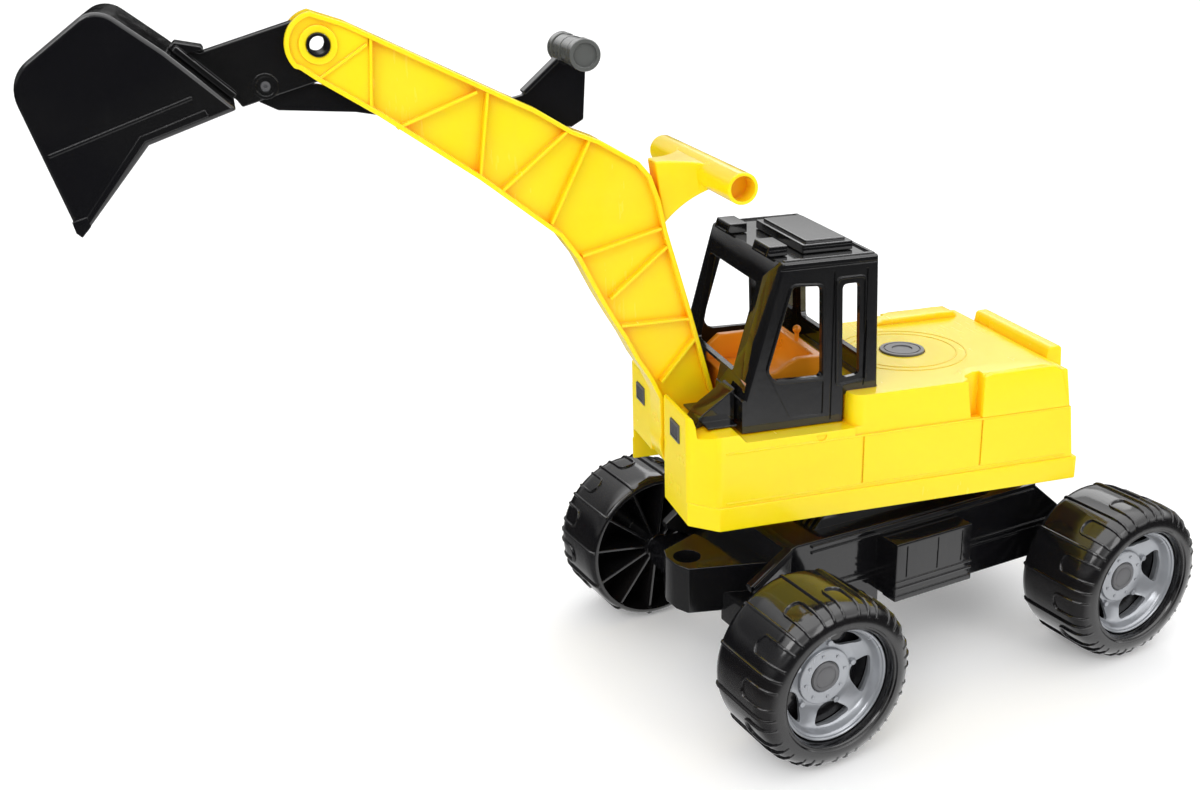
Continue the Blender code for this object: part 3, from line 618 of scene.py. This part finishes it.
def house_shape():
    """The hollow house with its ridges, blocks, beads, seams, rear bar, slot for the boom and bores."""
    house = add(house_block(0.0), skirt_shape())
    for sign in (1.0, -1.0):
        upper = [(64.6, 164.2), (64.6, 220.0), (-100.0, 220.0), (-100.0, 164.2)]
        house = cut(house, slab(upper, sign * (HOUSE_HALF - 2.6), sign * 90.0))
        ridge = [(-4.0, 188.0), (-14.0, 192.4), (-58.0, 193.2), (-66.0, 192.6), (-70.0, 188.0)]
        house = add(house, slab(ridge, sign * 52.0, sign * (HOUSE_HALF - 3.0), 1.2))
        block = [(-18.6, 164.0), (-18.6, 190.5), (-24.0, 192.4), (-66.0, 192.4), (-72.0, 189.0)]
        block.append((-79.4, 164.0))
        house = add(house, slab(block, sign * 56.0, sign * (HOUSE_HALF - 0.9), 1.6))
        notch = [(-8.6, 200.0), (-8.6, 189.0), (-12.0, 165.0), (-18.4, 165.0), (-18.4, 200.0)]
        house = cut(house, slab(notch, sign * (HOUSE_HALF - 8.0), sign * 90.0, 0.6))
        round_off = [(75.0, -58.0), (75.0, -75.0), (58.6, -75.0)] + arc(8.0, 8, (58.6, -58.0), -90.0, 90.0)
        house = cut(house, prism([(sign * x, y) for x, y in round_off], "z", SHOULDER_TOP, 220.0))
        for z in (163.9, 132.6):
            bead = [(145.0, z - 0.5), (145.0, z + 0.5), (-78.5, z + 0.5), (-78.5, z - 0.5)]
            house = add(house, slab(bead, sign * 66.5, sign * (HOUSE_HALF - 0.7), 0.3))
        for u in (59.0, -19.4):
            seam = [(u - 0.55, 133.6), (u - 0.55, 163.0), (u + 0.55, 163.0), (u + 0.55, 133.6)]
            house = cut(house, slab(seam, sign * (HOUSE_HALF - 2.0), sign * 75.0))
    bar = [(-73.0, 170.0), (-76.5, 187.0), (-77.6, 193.6), (-79.4, 195.0), (-85.6, 195.0), (-87.4, 193.4)]
    bar += [(-89.6, 165.0), (-86.0, 150.0)]
    house = add(house, prism(bar, "x", -43.0, 43.0, 1.2))
    for radius in (40.0, 34.0):
        ring = cut(rod(radius, "z", 188.3, 189.0, steps=72), rod(radius - 0.7, "z", 187.0, 190.0, steps=72))
        ring = crop(ring, box((-60.0, 60.0), (-42.0, 60.0), (180.0, 200.0)))
        house = add(house, ring)
    hollow = house_block(3.0)
    for sign in (1.0, -1.0):
        step = [(64.0, 160.0), (64.0, 240.0), (-100.0, 240.0), (-100.0, 160.0)]
        hollow = cut(hollow, slab(step, sign * (HOUSE_HALF - 11.0), sign * 90.0))
    house = cut(house, hollow)
    wall = SLOT_HALF + 3.0
    house = add(house, box((-wall, wall), (-163.0, -108.0), (HOUSE_FLOOR, 168.0)))
    house = add(house, box((-57.0, -54.0), (-163.0, -130.0), (HOUSE_FLOOR, 168.0)))
    house = cut(house, box((-SLOT_HALF, SLOT_HALF), (-180.0, -111.0), (100.0, 200.0)))
    house = cut(house, box((-54.0, -SLOT_HALF + 1.0), (-180.0, -134.0), (100.0, 138.0)))
    house = add(house, rod(13.0, "z", HOUSE_FLOOR, 187.0))
    house = cut(house, rod(SWIVEL_BORE, "z", 100.0, 168.0))
    house = cut(house, rod(14.4, "z", 187.2, 200.0, steps=64))
    for low, high in ((-46.0, -SLOT_HALF - 0.5), (SLOT_HALF + 0.5, 46.0)):
        house = add(house, rod(7.0, "x", low, high, BOOM_PIVOT, 32))
    house = cut(house, rod(PIVOT_BORE, "x", -44.0, 44.0, BOOM_PIVOT, 32))
    for sign in (1.0, -1.0):
        house = cut(house, box(sorted((sign * 25.7, sign * 41.9)), (-170.0, -162.0), (162.5, 174.5)))
    mark = prism(arc(3.4, 10, (86.0, 167.6), 180.0, 180.0), "x", HOUSE_HALF - 1.9, HOUSE_HALF + 3.0)
    return cut(house, mark)


def lamp_shape(sign):
    """A lamp glass with a raised bezel and upright flutes."""
    low, high = sorted((sign * 26.0, sign * 41.6))
    lamp = box((low, high), (-165.2, -162.4), (162.9, 174.1), 0.5)
    lamp = cut(lamp, box((low + 1.4, high - 1.4), (-167.0, -164.2), (164.3, 172.7), 0.3))
    flutes = []
    for i in range(5):
        x = low + 2.6 + i * 2.6
        flutes.append(box((x - 0.5, x + 0.5), (-164.8, -163.6), (164.8, 172.2), 0.25))
    return add(lamp, together(flutes))


def swivel_cap_shape():
    cap = rod(14.0, "z", 187.5, 190.0, steps=64, soft=0.6)
    groove = cut(rod(11.6, "z", 189.3, 192.0, steps=64), rod(10.8, "z", 188.0, 193.0, steps=64))
    cap = cut(cap, groove)
    return cut(cap, rod(6.4, "z", 189.4, 192.0, steps=48))


# ---------------------------------------------------------------- cab

CAB_HALF = 56.2


def cab_body(wall):
    """The upper part of the cab, from its sill to its roof, with cut front corners."""
    front_low, front_high, rear_low, rear_high = 131.2, 112.6, 45.6, 48.4
    half, low, high = CAB_HALF, 186.0, 269.6
    corner = 12.5
    if wall:
        half, high, corner = half - wall, high - wall, corner - 1.0
        front_low, front_high = front_low - wall, front_high - wall
        rear_low, rear_high = rear_low + wall, rear_high + wall
    points = []
    for sign in (1.0, -1.0):
        points += [(sign * half, -rear_low, low), (sign * half, -rear_high, high)]
        points += [(sign * (half - corner), -front_low, low), (sign * (half - corner), -front_high, high)]
        points += [(sign * half, -front_low + 0.6, low), (sign * half, -front_high + 5.6, high)]
    return hull(points, 0.0 if wall else 1.5, 3)


def window(outline, radius, low, high):
    return prism(rounded(outline, radius), "x", low, high)


def cab_shape():
    """The hollow cab with its sill, tilted panel, framed side windows, grooves, windscreen and roof lip."""
    skirt = [(131.0, 170.0), (131.2, 190.0), (46.0, 190.0), (45.3, 189.2), (67.2, 189.2), (67.2, 169.8)]
    cab = add(cab_body(0.0), prism(skirt, "x", -CAB_HALF, CAB_HALF, 0.8))
    fascia = [(117.2, 256.4), (108.2, 269.8), (104.0, 275.0), (130.0, 275.0), (130.0, 256.4)]
    cab = cut(cab, prism(fascia, "x", -60.0, 60.0))
    cab = cut(cab, cab_body(3.6))
    cab = cut(cab, box((-CAB_HALF + 3.0, CAB_HALF - 3.0), (-128.0, -70.0), (150.0, 200.0)))
    cab = cut(cab, box((-CAB_HALF + 3.0, CAB_HALF - 3.0), (-128.0, -49.0), (192.5, 200.0)))
    door = [(101.1, 255.4), (83.3, 254.1), (81.6, 199.7), (111.0, 200.3), (115.4, 206.4)]
    rear = [(70.3, 253.9), (59.7, 254.0), (57.9, 198.1), (68.7, 196.9)]
    frames = []
    for outline, margin in ((door, 1.6), (rear, 4.4)):
        for sign in (1.0, -1.0):
            low, high = sorted((sign * (CAB_HALF - 1.0), sign * (CAB_HALF + 1.2)))
            ring = prism(rounded(inset(outline, -margin), 4.0), "x", low, high, 0.3)
            frames.append(cut(ring, window(inset(outline, -margin + 1.3), 3.0, low - 1.0, high + 1.0)))
    cab = add(cab, together(frames))
    cab = cut(cab, window(door, 3.6, -70.0, 70.0), window(rear, 3.2, -70.0, 70.0))
    for u in (75.6, 55.1):
        foot = 172.0 if u > 67.0 else 191.0
        groove = [(u - 0.5, foot), (u - 0.5, 262.0), (u + 0.5, 262.0), (u + 0.5, foot)]
        for sign in (1.0, -1.0):
            cab = cut(cab, slab(groove, sign * (CAB_HALF - 0.8), sign * 60.0))
    panel = [(116.2, 206.0), (101.2, 176.5), (80.4, 176.0), (80.4, 197.0), (110.4, 197.6)]
    for sign in (1.0, -1.0):
        cab = cut(cab, slab(rounded(panel, 1.5), sign * (CAB_HALF - 0.9), sign * 60.0))
        band = [(112.0, 265.0), (112.0, 266.0), (40.0, 266.0), (40.0, 265.0)]
        cab = cut(cab, slab(band, sign * (CAB_HALF - 0.6), sign * 60.0))
    glass = [(-32.5, 201.0), (-38.5, 255.0), (38.5, 255.0), (32.5, 201.0)]
    cab = cut(cab, prism(rounded(glass, 2.5), "y", -150.0, -80.0))
    back = [(-46.0, 204.0), (-46.0, 254.0), (46.0, 254.0), (46.0, 204.0)]
    cab = cut(cab, prism(rounded(back, 3.5), "y", -58.0, -40.0))
    lip = box((-54.6, 54.6), (-106.0, -50.2), (269.0, 270.6), 0.4)
    lip = cut(lip, box((-52.4, 52.4), (-120.0, -52.4), (260.0, 280.0)))
    cab = add(cab, lip)
    return cut(cab, box((-SLOT_HALF, SLOT_HALF), (-140.0, -112.0), (160.0, 199.5)))


def hatch_shape():
    """Roof hatch: a low frame with a slightly smaller raised panel."""
    hatch = box((-29.0, 42.0), (-89.2, -58.0), (269.9, 275.2), 0.6)
    return add(hatch, box((-25.0, 38.0), (-86.0, -61.0), (274.0, 276.8), 0.7))


def roof_lamp_shape(sign):
    """Lamp box with a sloping front and a recessed glass."""
    profile = [(98.5, 269.9), (98.5, 276.0), (110.0, 276.0), (112.0, 269.9)]
    lamp = slab(profile, sign * 20.0, sign * 42.0, 0.7)
    glass = [(109.9, 274.6), (114.0, 274.6), (114.0, 271.2), (110.9, 271.2)]
    return cut(lamp, slab(glass, sign * 22.5, sign * 39.5))


def apron_shape(sign):
    """A thin plate over the shoulder with a sloping hood on it."""
    hood = [(157.6, 172.4), (156.3, 175.4), (152.0, 181.0), (147.4, 184.5), (141.0, 188.8), (136.0, 192.6)]
    hood += [(131.8, 195.4), (131.8, 175.1), (137.4, 175.1), (149.0, 174.9)]
    plate = box(sorted((sign * 13.1, sign * 55.8)), (-152.0, -134.0), (175.1, 176.4), 0.3)
    return add(plate, slab(hood, sign * 29.5, sign * 46.6, 0.7))


def seat_shape():
    """Low tub seat with a curved back, a full far side, a lower near side and a ball lever."""
    tub = [(122.0, 169.7), (122.0, 188.0), (92.0, 187.0), (84.0, 188.0), (79.5, 190.8), (76.6, 195.6)]
    tub += [(75.0, 203.7), (69.0, 203.7), (69.0, 169.7)]
    far = [(122.0, 186.0), (122.4, 196.2), (113.4, 203.7), (70.0, 203.7), (70.0, 186.0)]
    near = [(121.0, 186.0), (112.0, 194.0), (100.0, 196.0), (92.0, 201.0), (86.0, 203.7), (70.0, 203.7)]
    near.append((70.0, 186.0))
    shape = prism(tub, "x", -33.0, 33.0, 1.0)
    shape = add(shape, prism(far, "x", -33.0, -28.0, 1.0), prism(near, "x", 28.0, 33.0, 1.0))
    return add(shape, rod(1.4, "z", 200.0, 210.0, (0.0, -73.0), 16), ball((0.0, -73.0, 211.0), 2.6))


# ---------------------------------------------------------------- boom

BOOM_TOP = [(350.3, 414.3), (332.3, 407.8), (251.1, 365.9), (234.8, 357.9), (214.0, 344.6), (198.7, 338.0)]
BOOM_TOP += [(175.8, 324.0), (168.8, 315.5), (163.6, 301.3), (159.6, 282.4), (146.5, 237.1), (131.4, 181.7)]
BOOM_LOW = [(165.9, 179.7), (172.1, 193.2), (180.5, 206.9), (187.0, 220.1), (194.6, 233.2), (201.6, 246.1)]
BOOM_LOW += [(213.8, 271.1), (223.8, 285.4), (267.4, 321.3), (318.7, 358.8), (347.9, 378.1), (357.3, 385.3)]
BOOM_RIBS = (
    ((319.8, 399.0), (322.7, 363.0)),
    ((347.9, 380.1), (321.9, 396.2)),
    ((309.9, 352.0), (265.7, 368.2)),
    ((260.0, 368.0), (266.8, 321.4)),
    ((255.8, 313.0), (216.8, 343.7)),
    ((204.4, 338.0), (227.8, 292.8)),
    ((210.6, 272.5), (162.8, 284.4)),
    ((194.5, 245.4), (159.6, 273.5)),
    ((188.8, 228.3), (144.6, 228.3)),
    ((164.3, 190.3), (141.4, 216.8)),
)
BOOM_HALF = 10.4


def boom_outline():
    tip = arc(17.2, 16, STICK_PIVOT, -40.0, 120.0)
    foot = arc(25.0, 18, BOOM_PIVOT, 160.0, 215.0)
    return tip + BOOM_TOP[1:] + foot + BOOM_LOW


def boom_shape():
    """Plates, web and ribs of the boom, with ways through it for the lever and the head of the stick."""
    outline = boom_outline()
    boom = prism(outline, "x", -BOOM_HALF, BOOM_HALF, 0.7)
    inner = inset(outline, 2.6)
    for sign in (1.0, -1.0):
        boom = cut(boom, slab(inner, sign * 4.4, sign * 12.0))
        for start, end in BOOM_RIBS:
            boom = add(boom, slab(strip(start, end, 1.7), sign * 1.0, sign * (BOOM_HALF - 0.5), 0.4))
        for centre, radius in ((STICK_PIVOT, 10.0), (BOOM_PIVOT, 14.0)):
            boom = add(boom, slab(arc(radius, 48, centre), sign * 1.0, sign * (BOOM_HALF - 0.2), 0.6))
    tip = [(400.0, 440.0), (321.0, 440.0), (321.0, 340.0), (400.0, 340.0)]
    boom = add(boom, crop(prism(inset(outline, 1.0), "x", -8.2, 8.2), prism(tip, "x", -THROUGH, THROUGH)))
    lever_way = [(400.0, 440.0), (318.0, 440.0), (318.0, 396.0), (264.0, 368.5), (264.0, 386.0)]
    lever_way += [(184.0, 340.0), (180.0, 318.0), (200.0, 290.0), (240.0, 270.0), (400.0, 360.0)]
    boom = cut(boom, prism(lever_way, "x", -2.9, 2.9))
    head_way = [(400.0, 440.0), (326.0, 440.0), (324.0, 350.0), (400.0, 350.0)]
    boom = cut(boom, prism(head_way, "x", -6.6, 6.6))
    boom = add(boom, rod(14.0, "x", -12.3, 12.3, BOOM_PIVOT, 48, 0.5))
    boom = cut(boom, rod(PIVOT_BORE, "x", -THROUGH, THROUGH, BOOM_PIVOT, 32))
    return cut(boom, rod(6.3, "x", -THROUGH, THROUGH, STICK_PIVOT, 48))


def tip_tube_shape():
    tube = rod(6.1, "x", -11.3, 11.3, STICK_PIVOT, 48, 0.4)
    return cut(tube, rod(4.5, "x", -THROUGH, THROUGH, STICK_PIVOT, 40))


def elbow_handle_shape():
    """Cross tube with open ends on a tapered neck that stands on the elbow of the boom."""
    neck = bmesh.new()
    rings = []
    for i in range(11):
        t = i / 10.0
        half = 7.5 + 20.5 * t**2.4
        ends = ((-half, 166.0 - 25.0 * t, 323.0), (half, 166.0 - 25.0 * t, 323.0))
        ends += ((half, 161.0 - 21.8 * t, 286.0 + 22.8 * t), (-half, 161.0 - 21.8 * t, 286.0 + 22.8 * t))
        rings.append([neck.verts.new((x, -u, z)) for x, u, z in ends])
    for first, second in zip(rings, rings[1:]):
        for k in range(4):
            neck.faces.new((first[k], first[(k + 1) % 4], second[(k + 1) % 4], second[k]))
    neck.faces.new(rings[0])
    neck.faces.new(rings[-1])
    handle = rod(8.8, "x", -68.0, 68.0, HANDLE_CENTRE, 48, 0.8)
    handle = add(handle, soften(outward(neck), 1.4, 3, 50.0))
    for low, high in ((-69.0, -55.0), (55.0, 69.0)):
        handle = cut(handle, rod(6.9, "x", low, high, HANDLE_CENTRE, 48))
    return cut(handle, prism(inset(boom_outline(), -0.1), "x", -THROUGH, THROUGH))


# ---------------------------------------------------------------- stick, lever and bucket

STICK_OUTLINE = [(356.1, 409.9), (405.4, 396.3), (417.5, 400.5), (419.7, 399.4), (390.2, 371.4)]
STICK_OUTLINE += [(387.8, 367.8), (380.1, 369.9), (347.8, 378.5)]


def stick_shape():
    """The stick with its round head, cross foot and clip, a way for the lever and its pin bore."""
    stick = prism(STICK_OUTLINE, "x", -6.0, 6.0, 0.8)
    stick = add(stick, rod(14.4, "x", -6.0, 6.0, STICK_PIVOT, 56, 0.5))
    foot = strip((391.0, 374.4), (417.6, 399.6), 3.4)
    stick = add(stick, prism(foot, "x", -16.0, 16.0, 0.7))
    clip = [(417.4, 402.2), (420.2, 399.6), (416.0, 395.8), (403.5, 397.4), (404.5, 399.4)]
    stick = add(stick, prism(clip, "x", -9.0, 9.0, 0.5))
    rings = cut(rod(6.6, "x", -6.5, 6.5, LEVER_PIVOT, 40, 0.3), rod(4.9, "x", -8.0, 8.0, LEVER_PIVOT, 40))
    stick = add(stick, rings)
    stick = cut(stick, rod(7.1, "x", -THROUGH, THROUGH, STICK_PIVOT, 48))
    way = [(388.0, 340.0), (388.0, 386.0), (378.0, 391.5), (362.0, 391.0), (347.0, 388.3), (320.0, 386.0)]
    way.append((320.0, 340.0))
    stick = cut(stick, prism(way, "x", -2.6, 2.6))
    return cut(stick, rod(LINK_BORE, "x", -THROUGH, THROUGH, LEVER_PIVOT, 32))


def lever_shape():
    """One rigid plate from the pin in the stick, through the boom, to the tee grip above it."""
    bar = [(379.0, 369.4), (381.4, 377.6), (377.0, 382.4), (318.0, 370.4), (254.0, 361.2), (240.0, 364.0)]
    bar += [(218.6, 381.9), (203.6, 374.7), (205.6, 348.8), (212.6, 344.9), (238.1, 351.0), (262.0, 348.0)]
    bar += [(318.6, 358.6), (330.0, 361.0), (370.0, 364.6)]
    lever = prism(bar, "x", -2.2, 2.2, 0.4)
    edge = strip((239.0, 365.4), (219.4, 382.0), 2.4)
    lever = add(lever, prism(edge, "x", -4.6, 4.6, 0.5))
    lever = add(lever, rod(5.8, "x", -20.0, 20.0, GRIP_CENTRE, 32))
    return cut(lever, rod(LINK_BORE, "x", -THROUGH, THROUGH, LEVER_PIVOT, 32))


def grip_shape():
    """The sleeve of the tee grip: two barrels with a groove between them and a recessed disc at each end."""
    grip = rod(7.3, "x", -24.5, 24.5, GRIP_CENTRE, 48)
    for low, high, radius in ((-25.5, -17.5, 8.6), (-15.5, -0.7, 8.1), (0.7, 15.5, 8.1), (17.5, 25.5, 8.6)):
        grip = add(grip, rod(radius, "x", low, high, GRIP_CENTRE, 48, 0.5))
    for low, high in ((-26.5, -24.0), (24.0, 26.5)):
        grip = cut(grip, rod(6.5, "x", low, high, GRIP_CENTRE, 48))
    return cut(grip, rod(5.8, "x", -20.1, 20.1, GRIP_CENTRE, 32))


def link_pin_shape():
    pin = rod(2.6, "x", -6.0, 6.0, LEVER_PIVOT, 32, 0.4)
    return cut(pin, rod(1.0, "x", 5.2, 8.0, LEVER_PIVOT, 16), rod(1.0, "x", -8.0, -5.2, LEVER_PIVOT, 16))


BUCKET_HALF = 37.4


def bucket_corners(shrink):
    """The two rounded corners of the bucket's back; shrunk by the wall, they are those of its inside."""
    top = arc(13.5 - shrink, 8, (450.5, 406.4), 128.9, -74.5)
    return top + arc(19.0 - shrink, 9, (472.6, 383.8), 54.4, -70.0)


def bucket_shape():
    """Thin-walled bucket with a band and a lip on each side and teeth along its edge."""
    half = BUCKET_HALF
    outer = [(390.6, 370.8), (421.5, 400.3)] + bucket_corners(0.0)
    outer += [(474.0, 318.1), (471.7, 313.9), (467.2, 319.0), (434.6, 356.3)]
    inner = [(393.4, 369.6), (422.6, 397.8)] + bucket_corners(2.2)
    inner += [(471.9, 318.7), (470.5, 306.0), (425.0, 345.0), (393.0, 360.0)]
    bucket = prism(outer, "x", -half, half, 2.2, 4)
    bucket = cut(bucket, prism(inner, "x", -half + 2.2, half - 2.2))
    for sign in (1.0, -1.0):
        band = strip((480.8, 354.5), (411.5, 377.9), 1.5)
        bucket = add(bucket, slab(band, sign * (half - 0.6), sign * (half + 0.55), 0.3))
        lip = [(469.8, 321.9), (438.2, 360.9), (406.2, 371.8), (404.8, 368.6), (436.0, 358.4), (468.0, 319.6)]
        bucket = add(bucket, slab(lip, sign * (half - 1.4), sign * (half + 0.45), 0.3))
        tooth = [(475.4, 322.0), (474.2, 316.4), (471.7, 314.0), (467.0, 319.0), (468.0, 324.0)]
        bucket = add(bucket, slab(tooth, sign * (half - 4.0), sign * (half + 0.7), 0.4))
    teeth = []
    for i in range(4):
        x = -22.5 + 15.0 * i
        tooth = [(476.6, 325.0), (474.4, 315.6), (472.0, 313.9), (470.0, 317.0), (471.6, 326.0)]
        teeth.append(prism(tooth, "x", x - 3.2, x + 3.2, 0.5))
    return add(bucket, together(teeth))


# ---------------------------------------------------------------- the pieces on their bodies


def make_chassis():
    placed("chassis_moulding", chassis_shape(), BLACK, CHASSIS, "chassis", "black_plastic", "chassis_frame")
    for end, forward in (("front", AXLE_Y), ("rear", -AXLE_Y)):
        axle = rod(3.0, "x", -108.3, 108.3, (forward, AXLE_HEIGHT), 32, 0.4)
        placed(f"{end}_axle_rod", axle, STEEL, CHASSIS, "chassis", "steel", f"{end}_axle")
    pin = rod(SWIVEL_RADIUS, "z", 62.0, 165.0, (0.0, SWIVEL_Y), 48, 0.6)
    placed("swivel_post", pin, STEEL, CHASSIS, "chassis", "steel", "swivel_pin")


def make_house():
    def on_house(name, shape, skin, slot, *nodes):
        placed(name, shape, skin, HOUSE, "house", slot, *nodes)

    on_house("house_moulding", house_shape(), YELLOW, "yellow_plastic", "house_shell")
    plate = cut(rod(46.0, "z", 112.3, 115.3, steps=72, soft=0.4), rod(SWIVEL_BORE, "z", 100.0, 120.0))
    on_house("turntable_disc", plate, BLACK, "black_plastic", "turntable_plate")
    on_house("swivel_disc", swivel_cap_shape(), GREY, "grey_plastic", "swivel_cap")
    on_house("cab_moulding", cab_shape(), BLACK, "black_plastic", "cab_shell")
    on_house("roof_hatch_cover", hatch_shape(), BLACK, "black_plastic", "roof_hatch")
    # The seat wears the darker copy of the yellow plastic: painted shade.
    on_house("driver_seat", seat_shape(), SEAT_YELLOW_PAINTED_SHADE, "yellow_plastic", "cab_seat")
    pivot = rod(4.0, "x", -43.5, 43.5, BOOM_PIVOT, 32, 0.4)
    on_house("boom_pivot_rod", pivot, STEEL, "steel", "boom_pivot_pin")
    for side, sign in (("left", 1.0), ("right", -1.0)):
        on_house(f"lamp_{side}_glass", lamp_shape(sign), GREY, "grey_plastic", f"lamp_{side}")
        on_house(f"apron_{side}_moulding", apron_shape(sign), BLACK, "black_plastic", f"apron_{side}")
        on_house(f"roof_lamp_{side}_box", roof_lamp_shape(sign), BLACK, "black_plastic", f"roof_lamp_{side}")


def make_arm():
    placed("boom_moulding", boom_shape(), YELLOW, HOUSE, "boom", "yellow_plastic", "boom")
    placed("cross_handle", elbow_handle_shape(), YELLOW, HOUSE, "boom", "yellow_plastic", "elbow_handle")
    placed("tip_bush", tip_tube_shape(), BLACK, HOUSE, "boom", "black_plastic", "tip_tube")
    placed("stick_moulding", stick_shape(), BLACK, HOUSE, "stick", "black_plastic", "stick")
    placed("bucket_moulding", bucket_shape(), BLACK, HOUSE, "stick", "black_plastic", "bucket")
    placed("link_pin_rod", link_pin_shape(), GREY, HOUSE, "stick", "grey_plastic", "link_pin")
    placed("tee_lever", lever_shape(), BLACK, HOUSE, "lever", "black_plastic", "lever")
    placed("tee_grip_sleeve", grip_shape(), GRIP, HOUSE, "lever", "black_plastic")


# ---------------------------------------------------------------- stage, lights and camera


def area_light(name, place, target, size, power):
    light = bpy.data.lights.new(name, "AREA")
    light.shape = "RECTANGLE"
    light.size, light.size_y = size
    light.energy = power
    made = bpy.data.objects.new(name, light)
    bpy.context.scene.collection.objects.link(made)
    made.location = place
    made.rotation_euler = (Vector(place) - Vector(target)).to_track_quat("Z", "Y").to_euler()


def make_floor():
    floor = bpy.data.materials.new("pale_floor")
    floor.use_nodes = True
    shader = floor.node_tree.nodes["Principled BSDF"]
    shader.inputs["Base Color"].default_value = (0.93, 0.93, 0.93, 1.0)
    shader.inputs["Roughness"].default_value = 0.75
    shader.inputs["Emission Color"].default_value = (1.0, 1.0, 1.0, 1.0)
    shader.inputs["Emission Strength"].default_value = 0.16
    bm = bmesh.new()
    bmesh.ops.create_grid(bm, x_segments=1, y_segments=1, size=40.0)
    mesh = bpy.data.meshes.new("floor")
    bm.to_mesh(mesh)
    bm.free()
    mesh.materials.append(floor)
    ground = bpy.data.objects.new("floor", mesh)
    ground.location.z = -0.0002
    bpy.context.scene.collection.objects.link(ground)
    ground.visible_glossy = False


def make_world():
    """Plain white all round, except that glossy surfaces see softboxes: grey bands by height, dimmed on the
    far and front sides below the overhead one."""
    world = bpy.data.worlds.new("studio")
    world.use_nodes = True
    nodes, links = world.node_tree.nodes, world.node_tree.links
    where = nodes.new("ShaderNodeTexCoord")
    split = nodes.new("ShaderNodeSeparateXYZ")
    links.new(where.outputs["Generated"], split.inputs[0])

    def ranged(axis, low, high, least=0.0):
        made = nodes.new("ShaderNodeMapRange")
        made.inputs["From Min"].default_value = low
        made.inputs["From Max"].default_value = high
        made.inputs["To Min"].default_value = least
        links.new(split.outputs[axis], made.inputs["Value"])
        return made.outputs["Result"]

    def maths(operation, first, second):
        made = nodes.new("ShaderNodeMath")
        made.operation = operation
        links.new(first, made.inputs[0])
        links.new(second, made.inputs[1])
        return made.outputs[0]

    sky = nodes.new("ShaderNodeValToRGB")
    ramp = sky.color_ramp
    bands = ((0.0, 0.26), (0.275, 0.26), (0.31, 0.22), (0.35, 0.03), (0.40, 0.01), (0.45, 0.004))
    bands += ((0.54, 0.004), (0.60, 0.28), (0.625, 0.45), (0.66, 0.28), (0.80, 0.36), (0.90, 0.60))
    bands += ((1.0, 0.60),)
    while len(ramp.elements) < len(bands):
        ramp.elements.new(0.5)
    for stop, (position, grey) in zip(ramp.elements, bands):
        stop.position, stop.color = position, (grey, grey, grey, 1.0)
    links.new(ranged("Z", -1.0, 1.0), sky.inputs["Fac"])
    plain = nodes["Background"]
    plain.inputs["Color"].default_value = (1.0, 1.0, 1.0, 1.0)
    plain.inputs["Strength"].default_value = 1.0
    softboxes = nodes.new("ShaderNodeBackground")
    softboxes.inputs["Strength"].default_value = 5.0
    sides = maths("MULTIPLY", ranged("X", -0.9, 0.2, 0.45), ranged("Y", -0.55, 0.1, 0.25))
    brightness = maths("MAXIMUM", sides, ranged("Z", 0.5, 0.8))
    dimmed = nodes.new("ShaderNodeVectorMath")
    dimmed.operation = "SCALE"
    links.new(sky.outputs["Color"], dimmed.inputs[0])
    links.new(brightness, dimmed.inputs["Scale"])
    links.new(dimmed.outputs[0], softboxes.inputs["Color"])
    rays = nodes.new("ShaderNodeLightPath")
    pick = nodes.new("ShaderNodeMixShader")
    links.new(rays.outputs["Is Glossy Ray"], pick.inputs[0])
    links.new(plain.outputs[0], pick.inputs[1])
    links.new(softboxes.outputs[0], pick.inputs[2])
    links.new(pick.outputs[0], nodes["World Output"].inputs["Surface"])
    bpy.context.scene.world = world
    bpy.context.scene.view_settings.view_transform = "Standard"


def make_lights():
    middle = (0.0, 0.0, 0.2)
    area_light("key", (0.9, -1.3, 1.5), middle, (0.9, 0.7), 9.0)
    area_light("side", (1.7, 0.5, 0.8), middle, (0.5, 0.9), 4.0)
    area_light("back", (-1.2, 1.1, 1.1), middle, (1.0, 0.6), 4.0)


# The camera at the photo's viewing angle; its place is in metres in the chassis's own axes.
CAMERA_ANGLES = {"azimuth": 63.03, "elevation": 20.42, "roll": -1.765}
CAMERA_PLACE = (0.62618, -0.51298, 0.45973)
CAMERA_LENS = 39.717
CAMERA_SHIFT = (-0.00083, 0.00333)


def make_camera():
    azimuth, elevation, roll = (math.radians(angle) for angle in CAMERA_ANGLES.values())
    level = math.cos(elevation)
    back = Vector((math.sin(azimuth) * level, -math.cos(azimuth) * level, math.sin(elevation)))
    right = Vector((math.cos(azimuth), math.sin(azimuth), 0.0))
    up = back.cross(right)
    right, up = right * math.cos(roll) + up * math.sin(roll), up * math.cos(roll) - right * math.sin(roll)
    data = bpy.data.cameras.new("camera")
    data.sensor_width = 36.0
    data.lens = CAMERA_LENS
    data.shift_x, data.shift_y = CAMERA_SHIFT
    data.clip_start = 0.01
    made = bpy.data.objects.new("camera", data)
    bpy.context.scene.collection.objects.link(made)
    turn = Matrix((right, up, back)).transposed().to_4x4()
    made.matrix_world = CHASSIS @ Matrix.Translation(CAMERA_PLACE) @ turn
    bpy.context.scene.camera = made


make_wheels()
make_chassis()
make_house()
make_arm()
make_floor()
make_world()
make_lights()
make_camera()
